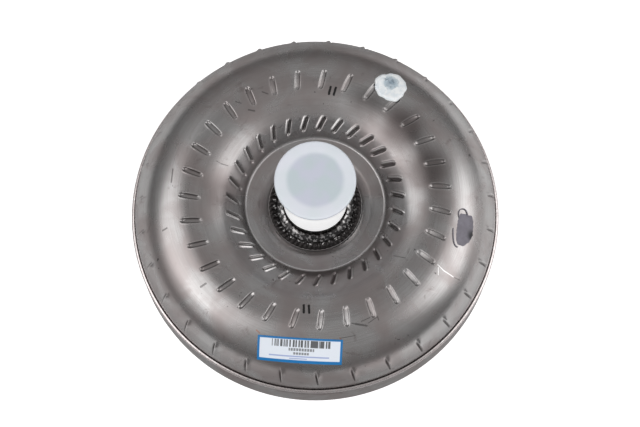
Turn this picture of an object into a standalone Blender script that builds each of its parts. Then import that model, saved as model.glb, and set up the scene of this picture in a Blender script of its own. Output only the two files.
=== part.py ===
"""A lock-up torque converter, lying on its crank pilot with the pump hub and its shipping cap on top.

Run it with: blender --background --python part.py
Units are metres and +Z is up, along the converter's own axis. The origin is on that axis, in the plane of
the crank pilot's end face, which is the lowest point. Each object is one real piece. The empties are the
bodies that move against each other, and all of them stand on the axis, because every joint lies on it.
"""

from math import acos, asin, atan2, cos, pi, radians, sin

import bmesh
import bpy
from mathutils import Matrix

MM = 0.001

# Clearances.
GAP = 0.3 * MM  # between pieces that touch on the real object
RUNNING_GAP = 0.6 * MM  # between pieces that turn against each other

# How finely round pieces are cut.
BIG_SIDES = 36
MIDDLE_SIDES = 32
WALL_STEPS = 4  # flats from a torus's rim to its crest
SMALL_SIDES = 24
SHARP_ANGLE = radians(40)

# Front cover: a pressed steel dish that bolts to the engine's flexplate.
COVER_RADIUS = 149.2 * MM
COVER_DEPTH = 43.0 * MM  # from its flat face to the top of its lip
COVER_WALL = 4.8 * MM
COVER_FLOOR = 5.0 * MM
COVER_CORNER = 13.4 * MM
BULGE_RADIUS = 58.0 * MM  # the middle stands proud of the flat face
BULGE_STEP = 12.0 * MM
BULGE_HEIGHT = 4.0 * MM
LIP_WALL = 1.9 * MM
LIP_DEPTH = 10.0 * MM

# Crank pilot and mounting lugs, on the outside of the cover.
PILOT_RADIUS = 21.6 * MM
PILOT_STANDOFF = 10.0 * MM  # how far it reaches past the lug faces
PILOT_CHAMFER = 1.5 * MM
SPIGOT_RADIUS = 15.6 * MM
SPIGOT_RISE = 2.5 * MM
CENTRE_MARK = 4.0 * MM
LUG_COUNT = 3
LUG_HEIGHT = 11.7 * MM
LUG_WIDTH = 36.0 * MM
LUG_DEPTH = 18.0 * MM
LUG_INSET = 12.7 * MM  # from the cover's edge to the bolt circle
LUG_THREAD_RADIUS = 5.0 * MM
LUG_FIRST_ANGLE = radians(90)
WEIGHT_RADIUS = 104.0 * MM
WEIGHT_SIZE = (16.0 * MM, 26.0 * MM, 3.0 * MM)
WEIGHT_ANGLES = (radians(148), radians(236))

# Impeller shell: the upper half of the housing, a half torus around a shallow recess.
SHELL_WALL = 3.6 * MM
TORUS_SEAT = 2.0 * MM  # the torus starts this far above the cover's lip
CREST_RADIUS = 101.0 * MM
CREST_RISE = 42.0 * MM
INNER_REACH = 54.0 * MM  # half-width of the torus on its inner side
RING_RADIUS = 56.5 * MM  # where the torus folds into the recess
RECESS_DROP = 4.7 * MM
RECESS_STEP = 2.3 * MM

# Impeller hub, which drives the oil pump, and the cap that protects it.
HUB_RADIUS = 23.8 * MM
HUB_BORE = 19.5 * MM
HUB_STANDOUT = 41.0 * MM  # how far it stands above the torus
HUB_FLANGE_WIDTH = 10.2 * MM
HUB_FLANGE_THICK = 7.0 * MM
HUB_FILLET = 4.2 * MM
NOTCH_WIDTH = 10.0 * MM
NOTCH_DEPTH = 9.0 * MM
BEAD_OVERLAP = 3.4 * MM
BEAD_HEIGHT = 2.2 * MM
CAP_SKIRT = 1.3 * MM
CAP_SKIRT_LENGTH = 51.7 * MM
CAP_FLANGE_RADIUS = 31.9 * MM
CAP_FLANGE_THICK = 4.6 * MM
CAP_TOP = 3.4 * MM
CAP_EDGE = 1.1 * MM

# Label and patch stuck on the shell. Angles on the torus run from its rim, 0, to its crest, 90 degrees.
STICKER_LIFT = 0.35 * MM
PATCH_LIFT = 0.9 * MM
LABEL_THICK = 0.3 * MM
LABEL_WIDTH = 70.0 * MM
LABEL_ANGLE = radians(264.4)
LABEL_ON_TORUS = (radians(45), radians(73))
PATCH_THICK = 1.2 * MM
PATCH_RADIUS = 12.5 * MM
PATCH_ANGLE = radians(57)
PATCH_ON_TORUS = radians(76)
PATCH_SIDES = 14

# Lock-up clutch: piston, its friction lining and its seal.
LINING_THICK = 1.0 * MM
LINING_WIDTH = 24.0 * MM
PISTON_PLATE = 3.0 * MM
PISTON_TRAVEL = 0.8 * MM
PISTON_BORE = 26.3 * MM
PISTON_COLLAR = 3.7 * MM
PISTON_COLLAR_HEIGHT = 9.0 * MM
PISTON_BEAD = (64.0 * MM, 86.0 * MM)
PISTON_BEAD_RISE = 2.5 * MM
DOG_RADII = (126.0 * MM, 129.0 * MM)
DOG_HEIGHT = 5.0 * MM
SEAL_HEIGHT = 2.4 * MM

# Torsional damper between the piston and the turbine.
SPRING_COUNT = 6
SPRING_PITCH = 112.0 * MM  # distance of the springs from the axis
SPRING_COIL = 4.6 * MM  # outside radius
SPRING_WIRE = 1.3 * MM  # wire radius
SPRING_TURNS = 6
SPRING_TURN_POINTS = 6
TAB_HALF_ARC = radians(11)
TAB_WIDTH = 4.4 * MM  # of the drive plate's tabs, which push the outer half of each coil
TAB_REACH = 8.0 * MM
DRIVE_PLATE = 1.5 * MM
DRIVE_PLATE_RADII = (92.0 * MM, 130.0 * MM)
DOG_FACET = 2  # which of the piston's facets carries the first dog
DRIVEN_PLATE = 2.0 * MM
DRIVEN_PLATE_RADII = (36.0 * MM, 103.0 * MM)
DRIVEN_DISH = (52.0 * MM, 72.0 * MM)

# Turbine.
TURBINE_WALL = 2.0 * MM
TURBINE_RIM_GAP = 2.0 * MM  # to the flats of the housing round it
TURBINE_REACH = 49.5 * MM  # half-width of its torus on the inner side
TURBINE_EXIT = radians(33.5)
TURBINE_FLANGE_BORE = 36.0 * MM
TURBINE_HUB_RADIUS = 24.0 * MM
TURBINE_HUB_FLANGE = (50.0 * MM, 5.5 * MM)  # radius and thickness
TURBINE_SPLINE = (14.0 * MM, 15.2 * MM)
TURBINE_TEETH = 14
RIVET_COUNT = 6
RIVET_CIRCLE = 43.0 * MM
RIVET_RADIUS = 2.5 * MM
RIVET_HEAD = (4.2 * MM, 1.6 * MM)  # radius and thickness
RIVET_SIDES = 6
WASHER_WIDTH = 12.4 * MM
WASHER_THICK = 3.0 * MM

# Blade rings of impeller and turbine: sheet blades on a core ring.
IMPELLER_BLADES = 31
TURBINE_BLADES = 29
BLADE_STATIONS = 4
BLADE_THICK = 1.4 * MM
BLADE_CLEARANCE = 0.4 * MM  # to the flats of the shell it stands in
HALF_GAP = 2.0 * MM  # from the middle plane to each core ring
CORE_SHEET = 1.3 * MM
CORE_REACH = 22.0 * MM
CORE_RISE = 13.0 * MM
CORE_ANGLES = (radians(4), radians(150))
IMPELLER_INLET = radians(143)
IMPELLER_LEAN = (0.050, -0.030, -0.055, -0.105)  # radians at each station, from rim to hub side
TURBINE_LEAN = (-0.10, 0.02, 0.10, 0.24)

# Stator with its one-way clutch.
STATOR_BLADES = 15
STATOR_HUB_WIDTH = 13.0 * MM
STATOR_RING_RADII = (74.0 * MM, 78.0 * MM)
STATOR_BLADE_ARCS = (0.030, 0.066, 0.048, 0.012)  # half-widths in radians, from leading edge to tail
STATOR_BLADE_SWEEP = (0.10, 0.09, -0.01, -0.17)
STATOR_BLADE_ROOT = 1.2 * MM  # how far each blade reaches into its rings
STATOR_HEADROOM = 2.7 * MM
STATOR_SHOULDER = 1.0 * MM
STATOR_BLADE_START = 5.0 * MM
RACE_RADIUS = 27.0 * MM
RACE_SPLINE = (15.2 * MM, 16.5 * MM)
RACE_TEETH = 18
CAM_RADIUS = 42.6 * MM
ROLLER_COUNT = 8
ROLLER_RADIUS = 3.6 * MM
ROLLER_SIDES = 8
POCKET_ARC = radians(24)
POCKET_DEPTH = (1.9 * MM, 0.45 * MM)  # beyond the roller, at the wide and the narrow end
CAM_TOOTH = 33.8 * MM
CAGE_RING = 1.2 * MM
CAGE_LEAF = radians(1.8)
CAP_PLATE = 1.2 * MM

# Needle thrust bearings on both sides of the inner race.
BEARING_RADII = (19.0 * MM, 28.5 * MM)
BEARING_RACE = 1.2 * MM
NEEDLE = 2.2 * MM
NEEDLE_CAGE = 1.2 * MM
NEEDLE_COUNT = 12



def flats_depth(radius, reach):
    """How far a shell's flats reach inside its true curve, round the axis and along the torus."""
    return radius * (1 - cos(pi / MIDDLE_SIDES)) + reach * (1 - cos(pi / 4 / WALL_STEPS))


# Heights worked out from the sizes above, from the pilot up to the hub.
LUG_FACE_Z = PILOT_STANDOFF
COVER_FACE_Z = LUG_FACE_Z + LUG_HEIGHT + GAP
CENTRE_FACE_Z = COVER_FACE_Z - BULGE_HEIGHT
COVER_FLOOR_Z = COVER_FACE_Z + COVER_FLOOR
CENTRE_FLOOR_Z = CENTRE_FACE_Z + COVER_FLOOR
LIP_Z = COVER_FACE_Z + COVER_DEPTH
TORUS_Z = LIP_Z + TORUS_SEAT
CREST_Z = TORUS_Z + CREST_RISE
HUB_TOP_Z = CREST_Z + HUB_STANDOUT
RING_ANGLE = pi - acos((CREST_RADIUS - RING_RADIUS) / INNER_REACH)
RING_Z = TORUS_Z + CREST_RISE * sin(RING_ANGLE)
RECESS_Z = RING_Z - RECESS_DROP
HUB_FLANGE_Z = RECESS_Z - HUB_FLANGE_THICK

LINING_Z = COVER_FLOOR_Z + GAP
PISTON_Z = LINING_Z + LINING_THICK + GAP
PISTON_TOP_Z = PISTON_Z + PISTON_PLATE
DRIVE_PLATE_Z = PISTON_TOP_Z + PISTON_TRAVEL + GAP
SPRING_Z = DRIVE_PLATE_Z + DRIVE_PLATE + GAP + SPRING_COIL
TURBINE_CREST_Z = SPRING_Z + SPRING_COIL + GAP
MIDDLE_Z = (TURBINE_CREST_Z + TURBINE_WALL + CREST_Z - SHELL_WALL) / 2
TURBINE_Z = MIDDLE_Z - HALF_GAP / 2
TURBINE_DEPTH = TURBINE_Z - TURBINE_CREST_Z
TURBINE_FLANGE_Z = TURBINE_Z - (TURBINE_DEPTH - TURBINE_WALL) * sin(TURBINE_EXIT)
TURBINE_HUB_Z = TURBINE_FLANGE_Z - TURBINE_WALL - GAP
TURBINE_HUB_UNDER_Z = TURBINE_HUB_Z - TURBINE_HUB_FLANGE[1]
DRIVEN_TOP_Z = TURBINE_HUB_UNDER_Z - GAP
WASHER_Z = CENTRE_FLOOR_Z + GAP
TURBINE_HUB_END_Z = WASHER_Z + WASHER_THICK + GAP

FRONT_RACE_Z = TURBINE_HUB_Z + GAP
FRONT_CAGE_Z = FRONT_RACE_Z + BEARING_RACE + GAP
INNER_RACE_Z = FRONT_CAGE_Z + NEEDLE + GAP
REAR_RACE_Z = HUB_FLANGE_Z - GAP - BEARING_RACE
REAR_CAGE_Z = REAR_RACE_Z - GAP - NEEDLE
INNER_RACE_TOP_Z = REAR_CAGE_Z - GAP
STATOR_Z = TURBINE_FLANGE_Z + GAP + RIVET_HEAD[1] + RUNNING_GAP
STATOR_TOP_Z = RECESS_Z - SHELL_WALL - STATOR_HEADROOM
CAM_Z = STATOR_Z + CAP_PLATE + GAP
CAM_TOP_Z = INNER_RACE_TOP_Z - GAP - CAP_PLATE - GAP

# Radii worked out from the sizes above.
LIP_RADIUS = COVER_RADIUS - LIP_WALL
SHELL_RIM = LIP_RADIUS - GAP
COVER_BORE = COVER_RADIUS - COVER_WALL
FLOOR_RADIUS = COVER_RADIUS - COVER_CORNER
PISTON_RADIUS = FLOOR_RADIUS + 1.7 * MM
LINING_RADIUS = FLOOR_RADIUS - 4 * GAP
LUG_CIRCLE = COVER_RADIUS - LUG_INSET
HUB_FLANGE_RADIUS = HUB_RADIUS + HUB_FLANGE_WIDTH
RECESS_RADIUS = HUB_FLANGE_RADIUS + 9.0 * MM
SHELL_FLATS = flats_depth(SHELL_RIM, SHELL_RIM - SHELL_WALL - CREST_RADIUS)
TURBINE_RIM = SHELL_RIM - SHELL_WALL - SHELL_FLATS - TURBINE_RIM_GAP
STATOR_HUB_BORE = CAM_RADIUS / cos(pi / SMALL_SIDES) + GAP
STATOR_HUB_OUTER = STATOR_HUB_BORE + STATOR_HUB_WIDTH


# Shapes.


def clear_scene():
    for leftover in list(bpy.data.objects):
        bpy.data.objects.remove(leftover)


def finish(name, colour, roughness, metallic):
    """A Principled material."""
    made = bpy.data.materials.new(name)
    made.use_nodes = True
    shader = made.node_tree.nodes["Principled BSDF"]
    shader.inputs["Base Color"].default_value = (*colour, 1.0)
    shader.inputs["Roughness"].default_value = roughness
    shader.inputs["Metallic"].default_value = metallic
    return made


def arc(centre, reach, rise, start, end, steps):
    """Points (radius, height) along an ellipse's arc, from angle start to angle end."""
    turns = [start + (end - start) * i / steps for i in range(steps + 1)]
    return [(centre[0] + reach * cos(t), centre[1] + rise * sin(t)) for t in turns]


def turned(outline, sides):
    """A lathe-turned solid. An outline that starts and ends on the axis stays open, and others close."""
    bm = bmesh.new()
    points = [bm.verts.new((radius, 0.0, height)) for radius, height in outline]
    pairs = list(zip(points, points[1:]))
    if outline[0][0] > 0:
        pairs.append((points[-1], points[0]))
    edges = [bm.edges.new(pair) for pair in pairs]
    bmesh.ops.spin(
        bm,
        geom=points + edges,
        cent=(0, 0, 0),
        axis=(0, 0, 1),
        angle=2 * pi,
        steps=sides,
        use_merge=True,
    )
    bmesh.ops.remove_doubles(bm, verts=bm.verts, dist=0.001 * MM)
    return bm


def square_ring(inner, outer, bottom, top):
    """The outline of a plain ring."""
    return [(inner, bottom), (outer, bottom), (outer, top), (inner, top)]


def ring_of_sections(sections):
    """A closed ring from sections, each a list of (angle, radius, height), joined one to the next."""
    bm = bmesh.new()
    rows = [
        [bm.verts.new((r * cos(a), r * sin(a), z)) for a, r, z in section] for section in sections
    ]
    for row, following in zip(rows, rows[1:] + rows[:1]):
        for i, vert in enumerate(row):
            before = i - 1
            bm.faces.new((row[before], vert, following[i], following[before]))
    return bm


def box(size, centre):
    bm = bmesh.new()
    bmesh.ops.create_cube(bm, size=1.0, matrix=Matrix.Translation(centre) @ Matrix.Diagonal((*size, 1)))
    return bm


def cylinder(radius, bottom, top, sides, centre=(0.0, 0.0)):
    bm = bmesh.new()
    middle = Matrix.Translation((centre[0], centre[1], (bottom + top) / 2))
    bmesh.ops.create_cone(
        bm,
        cap_ends=True,
        segments=sides,
        radius1=radius,
        radius2=radius,
        depth=top - bottom,
        matrix=middle,
    )
    return bm


def mesh_of(name, bm, look):
    bmesh.ops.recalc_face_normals(bm, faces=bm.faces)
    mesh = bpy.data.meshes.new(name)
    bm.to_mesh(mesh)
    bm.free()
    mesh.shade_smooth()
    mesh.set_sharp_from_angle(angle=SHARP_ANGLE)
    mesh.materials.append(look)
    return mesh


def place(name, mesh, body, turn=0.0):
    """One piece: mesh, on its body, turned about the converter's axis."""
    piece = bpy.data.objects.new(name, mesh)
    bpy.context.scene.collection.objects.link(piece)
    piece.parent = body
    piece.rotation_euler = (0.0, 0.0, turn)
    return piece


def body_on_axis(name, parent=None):
    """A moving body, as an empty on the axis."""
    empty = bpy.data.objects.new(name, None)
    bpy.context.scene.collection.objects.link(empty)
    empty.parent = parent
    return empty


def combine(piece, shape, operation):
    """Cuts the shape out of the piece, or joins it on."""
    mesh = bpy.data.meshes.new(piece.name + "_tool")
    bmesh.ops.recalc_face_normals(shape, faces=shape.faces)
    shape.to_mesh(mesh)
    shape.free()
    tool = bpy.data.objects.new(piece.name + "_tool", mesh)
    bpy.context.scene.collection.objects.link(tool)
    tool.parent = piece.parent
    tool.rotation_euler = piece.rotation_euler
    tool.hide_render = True
    tool.display_type = "WIRE"
    boolean = piece.modifiers.new("combine", "BOOLEAN")
    boolean.operation = operation
    boolean.solver = "EXACT"
    boolean.object = tool


def cut(piece, shape):
    combine(piece, shape, "DIFFERENCE")


def raise_faces(bm, angles, radii, base, height):
    """Extrudes upwards the level faces at this base height whose middles lie within the angles and radii."""
    chosen = []
    for face in bm.faces:
        middle = face.calc_center_median()
        level = all(abs(vert.co.z - base) < 0.01 * MM for vert in face.verts)
        turn = atan2(middle.y, middle.x)
        within = any(abs((turn - angle + pi) % (2 * pi) - pi) < half for angle, half in angles)
        if level and within and radii[0] < middle.xy.length < radii[1]:
            chosen.append(face)
    grown = bmesh.ops.extrude_face_region(bm, geom=chosen)
    raised = [item for item in grown["geom"] if isinstance(item, bmesh.types.BMVert)]
    bmesh.ops.translate(bm, verts=raised, vec=(0.0, 0.0, height))
    bmesh.ops.delete(bm, geom=chosen, context="FACES")


def merged(shapes):
    """Several separate shapes in one bmesh."""
    whole = bmesh.new()
    for shape in shapes:
        part = bpy.data.meshes.new("part")
        shape.to_mesh(part)
        shape.free()
        whole.from_mesh(part)
        bpy.data.meshes.remove(part)
    return whole


# Front cover and what is welded to it.


def front_cover(look):
    corner = (FLOOR_RADIUS, COVER_FACE_Z + COVER_CORNER)
    hole = SPIGOT_RADIUS + GAP
    slope_end = BULGE_RADIUS + BULGE_STEP
    outside = [(hole, CENTRE_FACE_Z), (BULGE_RADIUS, CENTRE_FACE_Z), (slope_end, COVER_FACE_Z)]
    outside += arc(corner, COVER_CORNER, COVER_CORNER, -pi / 2, 0, 3)
    lip = [
        (COVER_RADIUS, LIP_Z),
        (LIP_RADIUS, LIP_Z),
        (LIP_RADIUS, LIP_Z - LIP_DEPTH),
        (COVER_BORE, LIP_Z - LIP_DEPTH),
    ]
    inside = arc(corner, COVER_CORNER - COVER_WALL, COVER_CORNER - COVER_FLOOR, 0, -pi / 2, 2)
    inside += [
        (slope_end, COVER_FLOOR_Z),
        (BULGE_RADIUS, CENTRE_FLOOR_Z),
        (hole, CENTRE_FLOOR_Z),
    ]
    return mesh_of("front_cover", turned(outside + lip + inside, BIG_SIDES), look)


def crank_pilot(look):
    shoulder = CENTRE_FACE_Z - GAP
    outline = [
        (0.0, CENTRE_MARK),
        (CENTRE_MARK, 0.0),
        (PILOT_RADIUS - PILOT_CHAMFER, 0.0),
        (PILOT_RADIUS, PILOT_CHAMFER),
        (PILOT_RADIUS, shoulder),
        (SPIGOT_RADIUS, shoulder),
        (SPIGOT_RADIUS, CENTRE_FLOOR_Z + SPIGOT_RISE),
        (0.0, CENTRE_FLOOR_Z + SPIGOT_RISE),
    ]
    return mesh_of("crank_pilot", turned(outline, SMALL_SIDES), look)


def pilot_weld(look):
    toe = PILOT_RADIUS + GAP
    top = CENTRE_FACE_Z - GAP
    leg = 4.0 * MM
    return mesh_of("pilot_weld", turned([(toe, top - leg), (toe + leg, top), (toe, top)], SMALL_SIDES), look)


def mounting_lug(look):
    """A welded block, with the threaded hole that takes a flexplate bolt."""
    size = (LUG_DEPTH, LUG_WIDTH, LUG_HEIGHT)
    bm = box(size, (LUG_CIRCLE, 0.0, LUG_FACE_Z + LUG_HEIGHT / 2))
    upright = [e for e in bm.edges if abs(e.verts[0].co.z - e.verts[1].co.z) > LUG_HEIGHT / 2]
    bmesh.ops.bevel(bm, geom=upright, offset=3.0 * MM, segments=1, affect="EDGES")
    return mesh_of("mounting_lug", bm, look)


def lug_hole():
    slack = 1.0 * MM
    bottom, top = LUG_FACE_Z - slack, LUG_FACE_Z + LUG_HEIGHT + slack
    return cylinder(LUG_THREAD_RADIUS, bottom, top, 12, (LUG_CIRCLE, 0.0))


def balance_weight(look):
    centre_z = COVER_FACE_Z - GAP - WEIGHT_SIZE[2] / 2
    return mesh_of("balance_weight", box(WEIGHT_SIZE, (WEIGHT_RADIUS, 0.0, centre_z)), look)


# Impeller shell, its hub and their welds.


def impeller_shell(look):
    centre = (CREST_RADIUS, TORUS_Z)
    rim_reach = SHELL_RIM - CREST_RADIUS
    rim_bottom = LIP_Z - LIP_DEPTH + GAP
    hole = HUB_FLANGE_RADIUS + GAP
    outside = [(SHELL_RIM, rim_bottom)]
    outside += arc(centre, rim_reach, CREST_RISE, 0, pi / 2, 6)
    outside += arc(centre, INNER_REACH, CREST_RISE, pi / 2, RING_ANGLE, 4)[1:]
    step_radius = RECESS_RADIUS + RECESS_STEP
    outside += [(step_radius, RECESS_Z + RECESS_STEP), (RECESS_RADIUS, RECESS_Z), (hole, RECESS_Z)]
    inside = [(hole, RECESS_Z - SHELL_WALL), (step_radius, RECESS_Z - SHELL_WALL)]
    inside += arc(centre, INNER_REACH - SHELL_WALL, CREST_RISE - SHELL_WALL, RING_ANGLE, pi / 2, 2)
    inside += arc(centre, rim_reach - SHELL_WALL, CREST_RISE - SHELL_WALL, pi / 2, 0, WALL_STEPS)[1:]
    inside += [(SHELL_RIM - SHELL_WALL, rim_bottom)]
    return mesh_of("impeller_shell", turned(outside + inside, BIG_SIDES), look)


def closure_weld(look):
    """The bead that joins the cover's lip to the shell, all the way round."""
    inner = LIP_RADIUS + 0.4 * MM
    base = LIP_Z + GAP
    outline = [
        (inner, base),
        (COVER_RADIUS + 0.4 * MM, base),
        (COVER_RADIUS + 0.8 * MM, base + 0.9 * MM),
        (inner + 1.2 * MM, base + 2.1 * MM),
    ]
    return mesh_of("closure_weld", turned(outline, BIG_SIDES), look)


def impeller_hub(look):
    chamfer = 0.8 * MM
    outline = [
        (HUB_BORE + 2 * MM, HUB_FLANGE_Z),
        (HUB_FLANGE_RADIUS, HUB_FLANGE_Z),
        (HUB_FLANGE_RADIUS, RECESS_Z),
        (HUB_RADIUS + HUB_FILLET, RECESS_Z),
        (HUB_RADIUS + HUB_FILLET / 4, RECESS_Z + HUB_FILLET / 3),
        (HUB_RADIUS, RECESS_Z + HUB_FILLET),
        (HUB_RADIUS, HUB_TOP_Z - chamfer),
        (HUB_RADIUS - chamfer, HUB_TOP_Z),
        (HUB_BORE, HUB_TOP_Z),
        (HUB_BORE, HUB_FLANGE_Z + 2 * MM),
    ]
    return mesh_of("impeller_hub", turned(outline, SMALL_SIDES), look)


def hub_notches():
    """Two slots in the hub's end, which turn the oil pump's inner gear."""
    slack = 2.0 * MM
    length = HUB_RADIUS - HUB_BORE + 2 * slack
    middle = (HUB_RADIUS + HUB_BORE) / 2
    size = (length, NOTCH_WIDTH, NOTCH_DEPTH + slack)
    height = HUB_TOP_Z - NOTCH_DEPTH + size[2] / 2
    return merged([box(size, (middle, 0.0, height)), box(size, (-middle, 0.0, height))])


def hub_weld(look):
    inner = HUB_FLANGE_RADIUS - BEAD_OVERLAP
    outer = HUB_FLANGE_RADIUS + BEAD_OVERLAP
    base = RECESS_Z + GAP
    outline = [
        (inner, base),
        (outer, base),
        (outer - 0.8 * MM, base + 0.6 * BEAD_HEIGHT),
        (HUB_FLANGE_RADIUS, base + BEAD_HEIGHT),
        (inner + 0.8 * MM, base + 0.6 * BEAD_HEIGHT),
    ]
    return mesh_of("hub_weld", turned(outline, SMALL_SIDES), look)


def shipping_cap(look):
    """A polyethylene cap: a skirt over the hub under a wide round flange."""
    bore = HUB_RADIUS + GAP
    under = HUB_TOP_Z + GAP
    top = under + CAP_TOP
    outline = [
        (0.0, under),
        (bore, under),
        (bore, under - CAP_SKIRT_LENGTH),
        (bore + CAP_SKIRT, under - CAP_SKIRT_LENGTH),
        (bore + CAP_SKIRT, top - CAP_FLANGE_THICK),
        (CAP_FLANGE_RADIUS - CAP_EDGE, top - CAP_FLANGE_THICK),
        (CAP_FLANGE_RADIUS, top - CAP_FLANGE_THICK + CAP_EDGE),
        (CAP_FLANGE_RADIUS, top - CAP_EDGE),
        (CAP_FLANGE_RADIUS - CAP_EDGE, top),
        (0.0, top),
    ]
    return mesh_of("shipping_cap", turned(outline, SMALL_SIDES), look)


# What is stuck on the shell.


def on_torus(turn, lift):
    """Radius and height of the shell's outside at an angle on the torus, plus a lift along its normal."""
    reach = SHELL_RIM - CREST_RADIUS
    slope = (cos(turn) / reach, sin(turn) / CREST_RISE)
    length = (slope[0] ** 2 + slope[1] ** 2) ** 0.5
    return (
        CREST_RADIUS + reach * cos(turn) + lift * slope[0] / length,
        TORUS_Z + CREST_RISE * sin(turn) + lift * slope[1] / length,
    )


def patch_grid(angles, turns, lift, thick):
    """A thin curved plate on the torus: a grid of angles about the axis and turns on the torus."""
    bm = bmesh.new()
    layers = []
    for height in (lift, lift + thick):
        rows = []
        for angle in angles:
            spots = [on_torus(turn, height) for turn in turns]
            rows.append([bm.verts.new((r * cos(angle), r * sin(angle), z)) for r, z in spots])
        layers.append(rows)
    last_row, last_column = len(angles) - 1, len(turns) - 1
    for rows in layers:
        for i in range(last_row):
            for j in range(last_column):
                bm.faces.new((rows[i][j], rows[i + 1][j], rows[i + 1][j + 1], rows[i][j + 1]))
    edge = [(i, 0) for i in range(last_row)]
    edge += [(last_row, j) for j in range(last_column)]
    edge += [(i, last_column) for i in range(last_row, 0, -1)]
    edge += [(0, j) for j in range(last_column, 0, -1)]
    low, high = layers
    for (i, j), (k, m) in zip(edge, edge[1:] + edge[:1]):
        bm.faces.new((low[i][j], low[k][m], high[k][m], high[i][j]))
    return bm


def information_label(look):
    start, end = LABEL_ON_TORUS
    middle_radius = on_torus((start + end) / 2, 0.0)[0]
    half = LABEL_WIDTH / 2 / middle_radius
    angles = [LABEL_ANGLE - half + 2 * half * i / 6 for i in range(7)]
    turns = [start + (end - start) * j / 3 for j in range(4)]
    return mesh_of("information_label", patch_grid(angles, turns, STICKER_LIFT, LABEL_THICK), look)


def sealing_patch(look):
    """A round patch of set sealant, low at its edge and dished in its middle."""
    bm = bmesh.new()
    radius, height = on_torus(PATCH_ON_TORUS, 0.0)
    per_turn = PATCH_RADIUS / ((SHELL_RIM - CREST_RADIUS + CREST_RISE) / 2)
    rings = []
    shoulder, crest = PATCH_LIFT + PATCH_THICK / 2, PATCH_LIFT + PATCH_THICK
    for share, lift in ((1.0, PATCH_LIFT), (1.0, shoulder), (0.7, crest)):
        ring = []
        for i in range(PATCH_SIDES):
            round_angle = 2 * pi * i / PATCH_SIDES
            angle = PATCH_ANGLE + share * PATCH_RADIUS / radius * cos(round_angle)
            spot = on_torus(PATCH_ON_TORUS + share * per_turn * sin(round_angle), lift)
            ring.append(bm.verts.new((spot[0] * cos(angle), spot[0] * sin(angle), spot[1])))
        rings.append(ring)
    for lower, upper in zip(rings, rings[1:]):
        for i in range(PATCH_SIDES):
            j = (i + 1) % PATCH_SIDES
            bm.faces.new((lower[i], lower[j], upper[j], upper[i]))
    for ring, lift in ((rings[0], PATCH_LIFT), (rings[-1], PATCH_LIFT + PATCH_THICK * 0.7)):
        spot = on_torus(PATCH_ON_TORUS, lift)
        centre = bm.verts.new((spot[0] * cos(PATCH_ANGLE), spot[0] * sin(PATCH_ANGLE), spot[1]))
        for i in range(PATCH_SIDES):
            bm.faces.new((ring[i], ring[(i + 1) % PATCH_SIDES], centre))
    return mesh_of("sealing_patch", bm, look)


# Blade rings.


def blade_ring(name, count, core, tips, lean, look):
    """A core ring that carries sheet blades. core and tips are (radius, height) at each station."""
    bm = bmesh.new()
    stations = range(len(core))
    middle_z = sum(height for _, height in tips) / len(tips)
    inward = CORE_SHEET if middle_z < core[1][1] else -CORE_SHEET
    lines = []
    for blade in range(count):
        for side in (-1, 1):
            line = {"core": [], "under": [], "tip": []}
            for j in stations:
                middle = 2 * pi * blade / count + lean[j]
                for key, (radius, height) in (
                    ("core", core[j]),
                    ("under", (core[j][0], core[j][1] + inward)),
                    ("tip", tips[j]),
                ):
                    angle = middle + side * BLADE_THICK / 2 / core[j][0]
                    line[key].append(bm.verts.new((radius * cos(angle), radius * sin(angle), height)))
            lines.append(line)
    last = len(core) - 1

    def span(near, far, j):
        """A face between two lines of points, from station j to the next."""
        bm.faces.new((near[j], near[j + 1], far[j + 1], far[j]))

    for i, line in enumerate(lines):
        following = lines[(i + 1) % len(lines)]
        outside = "tip" if i % 2 == 0 else "core"
        for j in range(last):
            span(line["under"], following["under"], j)
            span(line[outside], following[outside], j)
            span(line["core"], line["tip"], j)
        ends = [("core", "under")] + [("core", "tip")] * (i % 2 == 0)
        for j in (0, last):
            for near, far in ends:
                bm.faces.new((line[near][j], line[far][j], following[far][j], following[near][j]))
    return mesh_of(name, bm, look)


def steps_between(start, end, count):
    return [start + (end - start) * i / (count - 1) for i in range(count)]


def flow_points(centre, reaches, rise, angles, sign):
    """Points on a half torus at angles from its rim, 0, over its crest to its inner side, 180 degrees."""
    points = []
    for angle in angles:
        reach = reaches[0] if angle < pi / 2 else reaches[1]
        points.append((centre[0] + reach * cos(angle), centre[1] + sign * rise * sin(angle)))
    return points


def impeller_blades(look):
    trim = SHELL_WALL + BLADE_CLEARANCE + SHELL_FLATS
    rise = CREST_RISE - trim
    first = asin((MIDDLE_Z + HALF_GAP / 2 - TORUS_Z) / rise)
    tip_angles = steps_between(first, IMPELLER_INLET, BLADE_STATIONS)
    reaches = (SHELL_RIM - trim - CREST_RADIUS, INNER_REACH - trim)
    tips = flow_points((CREST_RADIUS, TORUS_Z), reaches, rise, tip_angles, 1)
    core_angles = steps_between(*CORE_ANGLES, BLADE_STATIONS)
    core_centre = (CREST_RADIUS, MIDDLE_Z + HALF_GAP)
    core = flow_points(core_centre, (CORE_REACH, CORE_REACH), CORE_RISE, core_angles, 1)
    return blade_ring("impeller_blades", IMPELLER_BLADES, core, tips, IMPELLER_LEAN, look)


def turbine_blades(look):
    rim_reach = TURBINE_RIM - TURBINE_WALL - CREST_RADIUS
    clear = BLADE_CLEARANCE + flats_depth(TURBINE_RIM, rim_reach)
    trim = TURBINE_WALL + clear
    reaches = (TURBINE_RIM - trim - CREST_RADIUS, TURBINE_REACH - clear)
    tip_angles = steps_between(radians(2), pi - TURBINE_EXIT - radians(3), BLADE_STATIONS)
    tips = flow_points((CREST_RADIUS, TURBINE_Z), reaches, TURBINE_DEPTH - trim, tip_angles, -1)
    core_angles = steps_between(*CORE_ANGLES, BLADE_STATIONS)
    core_centre = (CREST_RADIUS, MIDDLE_Z - HALF_GAP)
    core = flow_points(core_centre, (CORE_REACH, CORE_REACH), CORE_RISE, core_angles, -1)
    return blade_ring("turbine_blades", TURBINE_BLADES, core, tips, TURBINE_LEAN, look)


# Turbine.


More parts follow.
